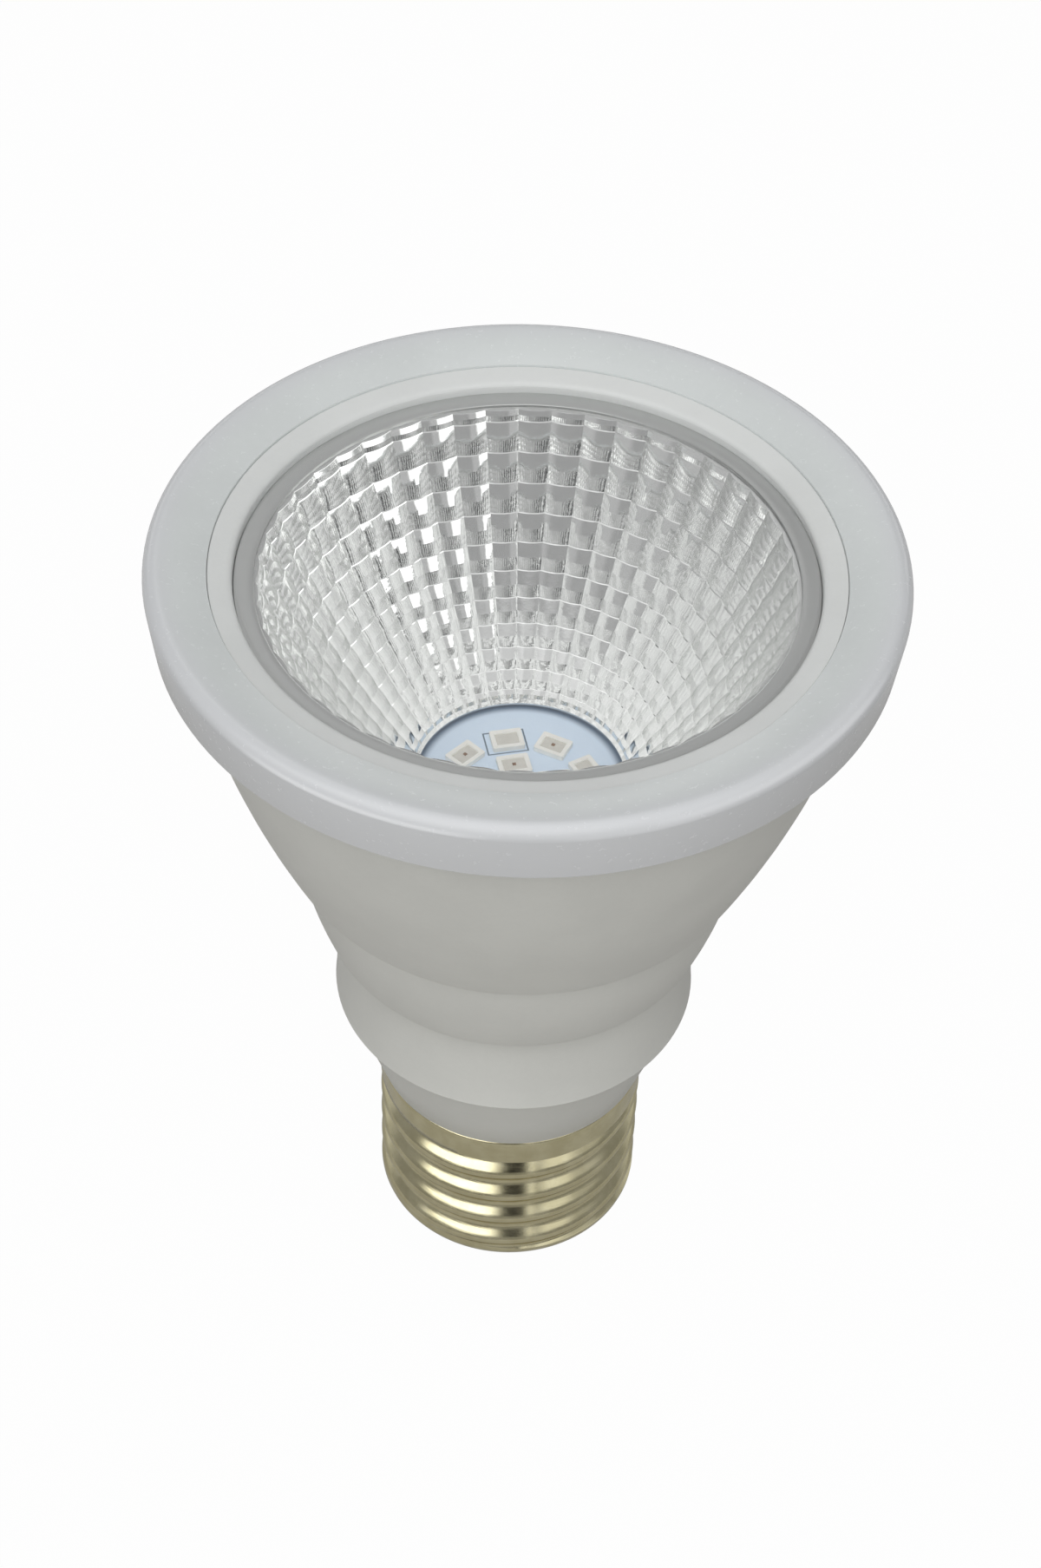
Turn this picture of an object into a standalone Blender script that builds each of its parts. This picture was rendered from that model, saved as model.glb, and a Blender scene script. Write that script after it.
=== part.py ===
"""A reflector grow light bulb with a screw base, built piece by piece.

Metres, +Z up. The origin is the middle of the contact at the foot of the bulb, so the bulb
stands upright on it, the base below and the open reflector on top.
"""
import math

import bmesh
import bpy
from mathutils import Matrix, Vector

MM = 0.001

# Gaps between pieces that seat on each other, and under parts soldered to a board.
CLEAR = 0.3 * MM
SOLDER_GAP = 0.2 * MM

# The foot of the base: the contact disc, its rivet, and the glass insulator above it.
CONTACT_RADIUS = 4.8 * MM
CONTACT_FLAT_RADIUS = 3.0 * MM
CONTACT_THICKNESS = 1.8 * MM
RIVET_RADIUS = 1.2 * MM
RIVET_PROUD = 0.85 * MM
INSULATOR_CONE_HEIGHT = 3.7 * MM
INSULATOR_CONE_STEP = 0.8 * MM
INSULATOR_FLANGE = 0.4 * MM
INSULATOR_LIP = 0.9 * MM
INSULATOR_PLUG_HEIGHT = 1.4 * MM

# The rolled shell, with its right-hand thread.
SHELL_RADIUS = 13.1 * MM
SHELL_WALL = 0.35 * MM
SHELL_HEIGHT = 19.0 * MM
SHELL_TURN_IN = 1.6 * MM
SHELL_MOUTH_LIP = 1.0 * MM
COLLAR_HEIGHT = 3.0 * MM
THREAD_PITCH = 3.629 * MM
THREAD_DEPTH = 1.0 * MM
THREAD_FADE = 1.2 * MM
THREAD_CREST_DROP = 4.0 * MM
SHELL_BOTTOM = CONTACT_THICKNESS + CLEAR + INSULATOR_CONE_HEIGHT + INSULATOR_FLANGE + CLEAR
SHELL_TOP = SHELL_BOTTOM + SHELL_HEIGHT
SHELL_MOUTH_RADIUS = SHELL_RADIUS - SHELL_TURN_IN - SHELL_MOUTH_LIP
SHELL_BORE = SHELL_RADIUS - THREAD_DEPTH - SHELL_WALL
PLUG_TOP = SHELL_BOTTOM + SHELL_WALL + CLEAR + INSULATOR_PLUG_HEIGHT
RIVET_TOP = PLUG_TOP + RIVET_PROUD

# The plastic housing, from the neck that stands on the shell up to the bezel. Each stage
# gives how far it rises and how far it steps out from the one below.
HOUSING_WALL = 1.6 * MM
NECK_PROUD = 0.2 * MM
NECK_RISE = 4.5 * MM
NECK_FLARE = 1.35 * MM
COLLAR_RISE = 6.4 * MM
COLLAR_STEP = 2.75 * MM
COLLAR_UNDERCUT = 0.7 * MM
WAIST_RISE = 6.1 * MM
WAIST_PINCH = 0.4 * MM
RING_EDGE_ROUND = 2.1 * MM
RING_EDGE_RISE = 5.4 * MM
RING_EDGE_INSET = 0.55 * MM
RING_RISE = 9.55 * MM
RING_BOW = 0.3 * MM
BODY_EDGE_ROUND = 2.2 * MM
BODY_EDGE_RISE = 2.01 * MM
BODY_EDGE_STEP = 3.59 * MM
BODY_RISE = 24.94 * MM
BODY_FLARE = 9.96 * MM
BODY_BOW = 0.86 * MM
NECK_FOOT_RADIUS = SHELL_RADIUS + NECK_PROUD
NECK_RADIUS = NECK_FOOT_RADIUS + NECK_FLARE
NECK_Z = SHELL_TOP + NECK_RISE
COLLAR_EDGE_RADIUS = NECK_RADIUS + COLLAR_STEP
COLLAR_EDGE_Z = NECK_Z + COLLAR_RISE
WAIST_RADIUS = COLLAR_EDGE_RADIUS - WAIST_PINCH
WAIST_Z = COLLAR_EDGE_Z + WAIST_RISE
RING_EDGE_CENTRE = (WAIST_RADIUS - RING_EDGE_INSET, WAIST_Z + RING_EDGE_RISE)
RING_TOP_Z = RING_EDGE_CENTRE[1] + RING_RISE
BODY_EDGE_CENTRE = (RING_EDGE_CENTRE[0] + BODY_EDGE_STEP, RING_TOP_Z + BODY_EDGE_RISE)
BODY_TOP_RADIUS = BODY_EDGE_CENTRE[0] + BODY_FLARE
BODY_TOP_Z = BODY_EDGE_CENTRE[1] + BODY_RISE

# Inside the housing: the spigot in the shell, the seat for the cup, and the reflector's shelf.
SPIGOT_DEPTH = 9.0 * MM
SPIGOT_WALL = 1.3 * MM
SEAT_RISE = 0.14 * MM
SEAT_WIDTH = 2.4 * MM
SHELF_WIDTH = 1.6 * MM
SHELF_THICKNESS = 1.5 * MM
SPIGOT_FOOT = SHELL_TOP - SPIGOT_DEPTH
SPIGOT_RADIUS = SHELL_BORE - CLEAR
SPIGOT_BORE = SPIGOT_RADIUS - SPIGOT_WALL
SEAT_Z = BODY_EDGE_CENTRE[1] + SEAT_RISE
HOUSING_BORE = BODY_TOP_RADIUS - HOUSING_WALL

# The front: the bezel that caps the housing, and the trim ring that sits in it.
BEZEL_OVERHANG = 2.95 * MM
BEZEL_DRAFT = 0.55 * MM
BEZEL_CORNER = 1.25 * MM
BEZEL_HEIGHT = 5.85 * MM
BEZEL_FALL = 1.15 * MM
BEZEL_CROWN = 0.1 * MM
BEZEL_LAP = 2.2 * MM
BEZEL_SEAT = 0.9 * MM
RECESS_INSET = 2.5 * MM
SEAT_LEDGE = 1.3 * MM
TRIM_SKIRT = 0.8 * MM
TRIM_STEP = 0.25 * MM
TRIM_FALL = 0.3 * MM
BEZEL_RADIUS = BODY_TOP_RADIUS + BEZEL_OVERHANG
BEZEL_FOOT_RADIUS = BEZEL_RADIUS - BEZEL_DRAFT
BEZEL_PLATE_Z = BODY_TOP_Z + BEZEL_LAP + CLEAR
BEZEL_TOP = BODY_TOP_Z + CLEAR + BEZEL_HEIGHT
RECESS_TOP = BEZEL_TOP - BEZEL_FALL
RECESS_FLOOR = BEZEL_PLATE_Z + BEZEL_SEAT
RECESS_RADIUS = BODY_TOP_RADIUS - RECESS_INSET
SEAT_RADIUS = RECESS_RADIUS - SEAT_LEDGE
TRIM_INNER_RADIUS = SEAT_RADIUS - CLEAR - TRIM_SKIRT
TRIM_TOP = RECESS_TOP - TRIM_STEP
TRIM_EDGE_Z = TRIM_TOP - TRIM_FALL

# The light engine: lamps on a metal-core board, on an aluminium cup.
SPREADER_THICKNESS = 1.5 * MM
SPREADER_SKIRT = 1.2 * MM
SPREADER_HEIGHT = 15.0 * MM
SPREADER_CORNER = 0.5 * MM
LED_BOARD_THICKNESS = 1.2 * MM
LED_BOARD_MARGIN = 2.0 * MM
SCREW_MARGIN = 2.3 * MM
SCREW_SHANK_RADIUS = 0.9 * MM
SCREW_HEAD_RADIUS = 1.6 * MM
SCREW_HEAD_HEIGHT = 1.1 * MM
SCREW_LENGTH = 5.5 * MM
LEAD_RADIUS = 0.6 * MM
SPREADER_FOOT = SEAT_Z + CLEAR
SPREADER_TOP = SPREADER_FOOT + SPREADER_THICKNESS
LED_BOARD_TOP = SPREADER_TOP + CLEAR + LED_BOARD_THICKNESS

# The faceted reflector, and the thin clear cover on its lip.
REFLECTOR_COLUMNS = 48
REFLECTOR_TURN = math.radians(3.5)
LIP_WIDTH = 1.9 * MM
LIP_DROP = 0.05 * MM
LIP_ROUND = 0.6 * MM
COVER_THICKNESS = 0.6 * MM
FOOT_RIM = 0.6 * MM
FOOT_MARGIN = 1.6 * MM
BOWL_BOW = 1.0 * MM
BOWL_TOP_SHARE = 0.02
ROW_COUNT = 11
ROW_FIRST = 0.046
ROW_STEP = 0.106
ROW_SHRINK = 0.00014
PILLOW_HEIGHT = 0.12 * MM
REFLECTOR_WALL = 1.2 * MM
FLANGE_THICKNESS = 1.0 * MM
HOUSING_TOP = BEZEL_PLATE_Z - CLEAR
FLANGE_TOP = BEZEL_PLATE_Z - CLEAR
SHELF_TOP = FLANGE_TOP - FLANGE_THICKNESS - CLEAR
LIP_Z = TRIM_EDGE_Z - COVER_THICKNESS - SOLDER_GAP
BOWL_MOUTH = (TRIM_INNER_RADIUS - CLEAR - LIP_WIDTH, LIP_Z + LIP_DROP)

# The lamps. Each place is a distance from the axis, a bearing from +X, and the turn of the
# lamp's long side.
LED_LENGTH = 3.0 * MM
LED_WIDTH = 2.35 * MM
LED_HEIGHT = 0.75 * MM
LED_WINDOW_BORDER = 0.45 * MM
LED_WINDOW_DEPTH = 0.12 * MM
LED_PLACES = (
    (5.85 * MM, 153, 47),
    (4.65 * MM, 108, 13),
    (4.85 * MM, 53, -25),
    (6.17 * MM, 10, -58),
    (1.36 * MM, 118, 14),
    (3.20 * MM, 355, 10),
    (5.80 * MM, 200, -70),
    (5.40 * MM, 243, -27),
    (5.30 * MM, 285, 15),
    (6.00 * MM, 325, 55),
    (2.20 * MM, 230, 14),
)

# The driver: one upright board in the neck, and what is soldered to its two faces. A can is a
# radius and a height, and a block is a width, a depth and a height.
DRIVER_THICKNESS = 1.2 * MM
DRIVER_LIFT = 2.6 * MM
DRIVER_NARROW_MARGIN = 1.35 * MM
DRIVER_SHOULDER_RISE = 2.3 * MM
DRIVER_TOP_GAP = 2.6 * MM
MAIN_CAN = (4.5 * MM, 14.5 * MM)
OUTPUT_CAN = (4.0 * MM, 11.5 * MM)
CHOKE = (3.4 * MM, 8.0 * MM)
TRANSFORMER_SIZE = (11.0 * MM, 10.0 * MM, 11.0 * MM)
FILM_CAP_SIZE = (10.0 * MM, 4.4 * MM, 8.0 * MM)
BRIDGE_SIZE = (5.0 * MM, 2.4 * MM, 6.5 * MM)
CHIP_SIZE = (4.0 * MM, 1.5 * MM, 5.0 * MM)
FUSE_SIZE = (1.6 * MM, 8.0 * MM)
FUSE_LIFT = 0.5 * MM
TRANSFORMER_DROP = 3.0 * MM
PART_LIFT = 1.0 * MM
OUTPUT_CAN_LIFT = 4.0 * MM
BRIDGE_RISE = 8.0 * MM
BLOCK_EDGE = 0.3 * MM
WIRE_RADIUS = 0.5 * MM
SHELL_LEAD_INSET = 1.6 * MM
SHELL_LEAD_RISE = 3.4 * MM
SHELL_LEAD_DROP = 3.3 * MM
SHELL_LEAD_BEARING = math.radians(-18)
LAMP_LEAD_X = 5.0 * MM
LAMP_LEAD_JOINT_DROP = 1.5 * MM
LAMP_LEAD_PROUD = 0.8 * MM
DRIVER_BOTTOM = RIVET_TOP + DRIVER_LIFT

# Where parts sit along the driver board, as shares of its half width.
MAIN_CAN_SHARE = 0.50
OUTPUT_CAN_SHARE = -0.46
CHOKE_SHARE = 0.33
TRANSFORMER_SHARE = -0.43

# How the leads bend: shares of the way from one end to the other, sideways, outwards and up.
CENTRE_LEAD_BENDS = ((0.0, 0.0), (0.2, 0.24), (0.7, 0.48), (1.0, 0.8), (1.0, 1.0))
LAMP_LEAD_BENDS = ((1.0, 0.0, 0.0), (0.98, 0.07, 0.2), (0.8, 0.32, 0.32), (0.44, 0.63, 0.355),
                   (0.14, 0.9, 0.37), (0.0, 1.0, 0.46), (0.0, 1.0, 1.0))

# Roundness of the turned pieces.
FINE_STEPS = 40
SHELL_STEPS = 32
SMALL_STEPS = 16
ROWS_PER_TURN = 5


def start_scene():
    """Empty the file and make the collections for the bulb and for the cutters."""
    for obj in list(bpy.data.objects):
        bpy.data.objects.remove(obj, do_unlink=True)
    groups = {}
    for name in ("grow_light_bulb", "cutters"):
        groups[name] = bpy.data.collections.new(name)
        bpy.context.scene.collection.children.link(groups[name])
    return groups


GROUPS = start_scene()


def material(name, colour, roughness, metallic=0.0):
    """A Principled material with one colour."""
    made = bpy.data.materials.new(name)
    made.use_nodes = True
    shader = made.node_tree.nodes["Principled BSDF"]
    shader.inputs["Base Color"].default_value = (*colour, 1.0)
    shader.inputs["Roughness"].default_value = roughness
    shader.inputs["Metallic"].default_value = metallic
    return made


WHITE_PLASTIC = ("white_plastic", (0.62, 0.63, 0.61), 0.45)
REFLECTOR_FINISH = ("reflector_chrome", (0.72, 0.73, 0.72), 0.12, 1.0)
NICKEL = ("nickel", (0.55, 0.50, 0.38), 0.22, 1.0)
ALUMINIUM = ("aluminium", (0.70, 0.71, 0.72), 0.35, 1.0)
STEEL = ("steel", (0.50, 0.50, 0.50), 0.30, 1.0)
BLACK_GLASS = ("black_glass", (0.02, 0.02, 0.02), 0.15)
CLEAR_PLASTIC = ("clear_plastic", (0.90, 0.92, 0.93), 0.05)
LED_BOARD_WHITE = ("led_board_white", (0.60, 0.68, 0.76), 0.40)
LAMP_CREAM = ("lamp_cream", (0.86, 0.82, 0.70), 0.40)
BOARD_GREEN = ("board_green", (0.05, 0.22, 0.09), 0.50)
BLACK_EPOXY = ("black_epoxy", (0.03, 0.03, 0.03), 0.55)
CAN_SLEEVE = ("can_sleeve", (0.05, 0.06, 0.09), 0.35)
FILM_RED = ("film_red", (0.45, 0.08, 0.05), 0.35)
TAPE_YELLOW = ("tape_yellow", (0.72, 0.55, 0.10), 0.45)
FERRITE = ("ferrite", (0.06, 0.06, 0.07), 0.60)
WIRE_RED = ("wire_red", (0.55, 0.04, 0.03), 0.45)
WIRE_BLACK = ("wire_black", (0.03, 0.03, 0.03), 0.45)


def place(obj, finish, group="grow_light_bulb"):
    """Put an object in its collection, with its own material."""
    GROUPS[group].objects.link(obj)
    if finish:
        obj.data.materials.append(material(f"{obj.name}_{finish[0]}", *finish[1:]))
    return obj


def new_object(name, mesh, finish):
    """An object for a mesh, in the bulb's collection."""
    return place(bpy.data.objects.new(name, mesh), finish)


def arc(centre, radius, start, end, count):
    """Points on an arc of a profile, from one angle to the other, in degrees."""
    angles = [math.radians(start + (end - start) * i / (count - 1)) for i in range(count)]
    return [(centre[0] + radius * math.cos(a), centre[1] + radius * math.sin(a)) for a in angles]


def bowed(start, end, bow, count):
    """Points from start to end on a shallow curve that swells to the left of the way by bow."""
    along = Vector(end) - Vector(start)
    side = Vector((-along.y, along.x)).normalized()
    shares = [i / (count - 1) for i in range(count)]
    return [tuple(Vector(start) + along * t + side * bow * 4 * t * (1 - t)) for t in shares]


def inset(path, wall):
    """The same path, moved by the wall to its right-hand side, with mitred corners."""
    points = [Vector(p) for p in path]
    moved = []
    for i, point in enumerate(points):
        before = (point - points[i - 1]).normalized() if i else (points[1] - point).normalized()
        after = (points[i + 1] - point).normalized() if i + 1 < len(points) else before
        normal_before = Vector((before.y, -before.x))
        normal_after = Vector((after.y, -after.x))
        mitre = (normal_before + normal_after).normalized()
        moved.append(tuple(point + mitre * wall / max(mitre.dot(normal_after), 0.5)))
    return moved


def radius_at(path, z):
    """The radius where a falling profile crosses a height."""
    for (r_high, z_high), (r_low, z_low) in zip(path, path[1:]):
        if z_low <= z <= z_high and z_high > z_low:
            return r_low + (r_high - r_low) * (z - z_low) / (z_high - z_low)
    return path[-1][0] if z < path[-1][1] else path[0][0]


def turned_surface(name, profile, steps, finish, closed=True):
    """A profile turned about Z. It runs down its outer side, and back up inside if closed."""
    edges = [(i, i + 1) for i in range(len(profile) - 1)]
    if closed:
        edges.append((len(profile) - 1, 0))
    mesh = bpy.data.meshes.new(name)
    mesh.from_pydata([(r, 0.0, z) for r, z in profile], edges, [])
    obj = new_object(name, mesh, finish)
    screw = obj.modifiers.new("turn", "SCREW")
    screw.axis = "Z"
    screw.angle = math.tau
    screw.steps = screw.render_steps = steps
    screw.use_merge_vertices = True
    screw.merge_threshold = 0.00001
    screw.use_smooth_shade = False
    return obj


def settled(obj):
    """Swap an object's modifiers for the mesh that they make."""
    graph = bpy.context.evaluated_depsgraph_get()
    mesh = bpy.data.meshes.new_from_object(obj.evaluated_get(graph))
    obj.modifiers.clear()
    obj.data = mesh
    return obj


def smooth(obj, angle=40.0):
    """Shade a round piece smooth, with its hard edges kept."""
    settled(obj)
    obj.data.shade_smooth()
    obj.data.set_sharp_from_angle(angle=math.radians(angle))
    return obj


def block(name, size, centre, finish, bevel=0.0):
    """A box at its size, with rounded edges."""
    mesh = bpy.data.meshes.new(name)
    shape = bmesh.new()
    bmesh.ops.create_cube(shape, size=1.0, matrix=Matrix.Diagonal((*size, 1.0)))
    shape.to_mesh(mesh)
    shape.free()
    obj = new_object(name, mesh, finish)
    obj.location = centre
    if bevel:
        edge = obj.modifiers.new("rounded edges", "BEVEL")
        edge.width = bevel
        edge.segments = 1
    return obj


def cutter_rod(name, radius, centre, depth):
    """A round rod along Z that cuts a hole."""
    mesh = bpy.data.meshes.new(name)
    shape = bmesh.new()
    bmesh.ops.create_cone(shape, cap_ends=True, segments=16, radius1=radius, radius2=radius,
                          depth=depth, matrix=Matrix.Translation(centre))
    shape.to_mesh(mesh)
    shape.free()
    obj = place(bpy.data.objects.new(name, mesh), None, "cutters")
    obj.hide_render = True
    obj.display_type = "WIRE"
    return obj


def cut(obj, tool, operation="DIFFERENCE"):
    """Cut one object with another, or join it on."""
    step = obj.modifiers.new(tool.name, "BOOLEAN")
    step.operation = operation
    step.solver = "EXACT"
    step.object = tool


def wire(name, points, radius, finish):
    """A bent lead along its points, with flat closed ends."""
    curve = bpy.data.curves.new(name, "CURVE")
    curve.dimensions = "3D"
    curve.bevel_depth = radius
    curve.bevel_resolution = 2
    curve.use_fill_caps = True
    spline = curve.splines.new("POLY")
    spline.points.add(len(points) - 1)
    for spot, point in zip(spline.points, points):
        spot.co = (*point, 1.0)
    obj = bpy.data.objects.new(name, curve)
    return place(obj, finish)


# The screw base.

def thread_height(angle, z):
    """How far the shell's wall lies inside its crest, at a bearing and a height."""
    crest_z = SHELL_TOP - THREAD_CREST_DROP
    turn = math.tau * (z - crest_z) / THREAD_PITCH - (angle + math.pi / 2)
    thread_top = SHELL_TOP - COLLAR_HEIGHT
    thread_foot = SHELL_BOTTOM + SHELL_TURN_IN
    fade = min(max((thread_top - z) / THREAD_FADE, 0.0), max((z - thread_foot) / THREAD_FADE, 0.0), 1.0)
    return THREAD_DEPTH * fade * (1 - math.cos(turn)) / 2


def make_shell():
    """The thin shell: a plain collar, the rolled thread, and a foot turned in."""
    thread_top = SHELL_TOP - COLLAR_HEIGHT
    thread_foot = SHELL_BOTTOM + SHELL_TURN_IN
    rows = max(8, round(ROWS_PER_TURN * (thread_top - thread_foot) / THREAD_PITCH))
    profile = [(SHELL_RADIUS, SHELL_TOP)]
    for i in range(rows + 1):
        profile.append((SHELL_RADIUS, thread_top + (thread_foot - thread_top) * i / rows))
    turn_centre = (SHELL_RADIUS - SHELL_TURN_IN, thread_foot)
    profile += arc(turn_centre, SHELL_TURN_IN, -30, -90, 3)
    profile.append((SHELL_MOUTH_RADIUS, SHELL_BOTTOM))
    shell = settled(turned_surface("screw_shell", profile, SHELL_STEPS, NICKEL, closed=False))
    for vertex in shell.data.vertices:
        x, y, z = vertex.co
        depth = thread_height(math.atan2(y, x), z)
        radius = math.hypot(x, y)
        vertex.co = (x * (radius - depth) / radius, y * (radius - depth) / radius, z)
    wall = shell.modifiers.new("wall", "SOLIDIFY")
    wall.thickness = SHELL_WALL
    wall.offset = -1.0
    smooth(shell, 50)


def make_insulator():
    """The glass insulator, which grips the shell's turned-in foot in a groove."""
    mouth = SHELL_MOUTH_RADIUS - CLEAR
    groove_top = SHELL_BOTTOM + SHELL_WALL + CLEAR
    groove_foot = SHELL_BOTTOM - CLEAR
    plug_radius = mouth + INSULATOR_LIP
    cone_foot = CONTACT_THICKNESS + CLEAR
    bore = RIVET_RADIUS + CLEAR
    profile = [
        (bore, PLUG_TOP), (plug_radius, PLUG_TOP), (plug_radius, groove_top), (mouth, groove_top),
        (mouth, groove_foot), (mouth + INSULATOR_LIP, groove_foot),
        (mouth + INSULATOR_LIP, groove_foot - INSULATOR_FLANGE),
        (CONTACT_RADIUS + INSULATOR_CONE_STEP, cone_foot), (bore, cone_foot),
    ]
    smooth(turned_surface("base_insulator", profile, SMALL_STEPS, BLACK_GLASS))


def make_contact():
    """The centre contact: a domed disc with a rivet up through the insulator."""
    drop = CONTACT_RADIUS - CONTACT_FLAT_RADIUS
    edge_z = CONTACT_THICKNESS / 3
    dome = [(CONTACT_FLAT_RADIUS + drop * math.sin(a), (CONTACT_THICKNESS - edge_z) * (1 - math.cos(a)))
            for a in (math.radians(d) for d in (90, 60, 30, 0))]
    profile = [(0.0, RIVET_TOP), (RIVET_RADIUS, RIVET_TOP), (RIVET_RADIUS, CONTACT_THICKNESS),
               (CONTACT_RADIUS, CONTACT_THICKNESS)] + dome + [(0.0, 0.0)]
    smooth(turned_surface("centre_contact", profile, SMALL_STEPS, STEEL))


# The plastic casing.

def housing_outside(side_points, edge_points):
    """The housing's outer profile below the bezel, from the top down to the neck's foot."""
    edge_start, edge_end = -26, -66
    ring_start, ring_end = -22, -72
    body_edge = arc(BODY_EDGE_CENTRE, BODY_EDGE_ROUND, edge_start, edge_end, edge_points)
    ring_edge = arc(RING_EDGE_CENTRE, RING_EDGE_ROUND, ring_start, ring_end, edge_points)
    body_side = bowed((BODY_TOP_RADIUS, BODY_TOP_Z), body_edge[0], BODY_BOW, side_points)
    ring_side = bowed((body_edge[-1][0], RING_TOP_Z), ring_edge[0], RING_BOW, 3)
    neck = [(WAIST_RADIUS, WAIST_Z), (COLLAR_EDGE_RADIUS, COLLAR_EDGE_Z),
            (COLLAR_EDGE_RADIUS - COLLAR_UNDERCUT, COLLAR_EDGE_Z - COLLAR_UNDERCUT / 3),
            (NECK_RADIUS, NECK_Z), (NECK_FOOT_RADIUS, SHELL_TOP + CLEAR)]
    return body_side[:-1] + body_edge[:-1] + ring_side[:-1] + ring_edge + neck


HOUSING_OUTSIDE = housing_outside(6, 4)
HOUSING_INSIDE = inset(housing_outside(4, 2), HOUSING_WALL)


def make_housing():
    """The stepped white housing: a shelf for the reflector, a seat for the cup, a spigot below."""
    neck_floor = SHELL_TOP + CLEAR + HOUSING_WALL
    seat_outer = radius_at(HOUSING_INSIDE, SEAT_Z)
    seat_inner = seat_outer - SEAT_WIDTH
    seat_under = RING_TOP_Z + HOUSING_WALL / 2
    shelf_foot = SHELF_TOP - SHELF_THICKNESS
    shelf_root = shelf_foot - SHELF_WIDTH
    low_inside = [p for p in reversed(HOUSING_INSIDE)
                  if neck_floor < p[1] < seat_under - HOUSING_WALL and p[0] > SPIGOT_BORE]
    high_inside = [p for p in reversed(HOUSING_INSIDE) if SEAT_Z + MM / 2 < p[1] < shelf_root - MM]
    inside = [(SPIGOT_BORE, SPIGOT_FOOT), (SPIGOT_BORE, neck_floor)] + low_inside
    inside += [(seat_inner, seat_under), (seat_inner, SEAT_Z), (seat_outer, SEAT_Z)] + high_inside
    inside += [(radius_at(HOUSING_INSIDE, shelf_root), shelf_root),
               (HOUSING_BORE - SHELF_WIDTH, shelf_foot), (HOUSING_BORE - SHELF_WIDTH, SHELF_TOP),
               (HOUSING_BORE, SHELF_TOP), (HOUSING_BORE, HOUSING_TOP)]
    outside = [(BODY_TOP_RADIUS, HOUSING_TOP)] + HOUSING_OUTSIDE
    spigot = [(SPIGOT_RADIUS, SHELL_TOP + CLEAR), (SPIGOT_RADIUS, SPIGOT_FOOT)]
    smooth(turned_surface("housing", outside + spigot + inside, FINE_STEPS, WHITE_PLASTIC), 30)


def make_bezel():
    """The bezel: a rounded rim that laps over the housing, with a recess for the trim ring."""
    corner_centre = (BEZEL_RADIUS - BEZEL_CORNER, BEZEL_TOP - BEZEL_CORNER)
    foot = BODY_TOP_Z + CLEAR
    land = bowed((RECESS_RADIUS, RECESS_TOP), (corner_centre[0], BEZEL_TOP), BEZEL_CROWN, 4)
    profile = land[:-1] + arc(corner_centre, BEZEL_CORNER, 90, 0, 5)
    profile += [(BEZEL_FOOT_RADIUS, foot), (BODY_TOP_RADIUS + CLEAR, foot),
                (BODY_TOP_RADIUS + CLEAR, BEZEL_PLATE_Z), (SEAT_RADIUS, BEZEL_PLATE_Z),
                (SEAT_RADIUS, RECESS_FLOOR), (RECESS_RADIUS, RECESS_FLOOR)]
    smooth(turned_surface("front_bezel", profile, FINE_STEPS, WHITE_PLASTIC), 35)


def make_trim_ring():
    """The trim ring: it closes the bezel's recess and its skirt holds the reflector down."""
    outer = RECESS_RADIUS - CLEAR
    seat = RECESS_FLOOR + CLEAR
    skirt_radius = SEAT_RADIUS - CLEAR
    skirt_foot = FLANGE_TOP + CLEAR
    profile = [(TRIM_INNER_RADIUS, TRIM_EDGE_Z), (outer, TRIM_TOP), (outer, seat), (skirt_radius, seat),
               (skirt_radius, skirt_foot), (TRIM_INNER_RADIUS, skirt_foot)]
    smooth(turned_surface("trim_ring", profile, FINE_STEPS, WHITE_PLASTIC), 35)


# The optics.

CUP_CORNER = radius_at(HOUSING_INSIDE, SPREADER_FOOT) - CLEAR - SPREADER_CORNER
LED_BOARD_RADIUS = CUP_CORNER - SPREADER_SKIRT - LED_BOARD_MARGIN
SCREW_BOLT_RADIUS = LED_BOARD_RADIUS - SCREW_MARGIN
FOOT_OUTER = SCREW_BOLT_RADIUS - SCREW_HEAD_RADIUS - FOOT_MARGIN
BOWL_FOOT = (FOOT_OUTER - REFLECTOR_WALL, LED_BOARD_TOP + CLEAR + FOOT_RIM)
LEAD_BOLT_RADIUS = FOOT_OUTER + LEAD_RADIUS + FOOT_MARGIN / 2


def bowl_point(share):
    """A point of the bowl's bowed side, from its mouth (0) to its foot (1)."""
    mouth, foot = Vector(BOWL_MOUTH), Vector(BOWL_FOOT)
    along = foot - mouth
    outward = Vector((-along.y, along.x)).normalized()
    return tuple(mouth + along * share + outward * BOWL_BOW * 4 * share * (1 - share))


def row_shares():
    """Where the facet rows meet: near-square facets that get shorter towards the board."""
    shares = [ROW_FIRST + ROW_STEP * k - ROW_SHRINK * k ** 3 for k in range(ROW_COUNT)]
    return [BOWL_TOP_SHARE] + [s for s in shares if s < 1.0] + [1.0]


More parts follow.
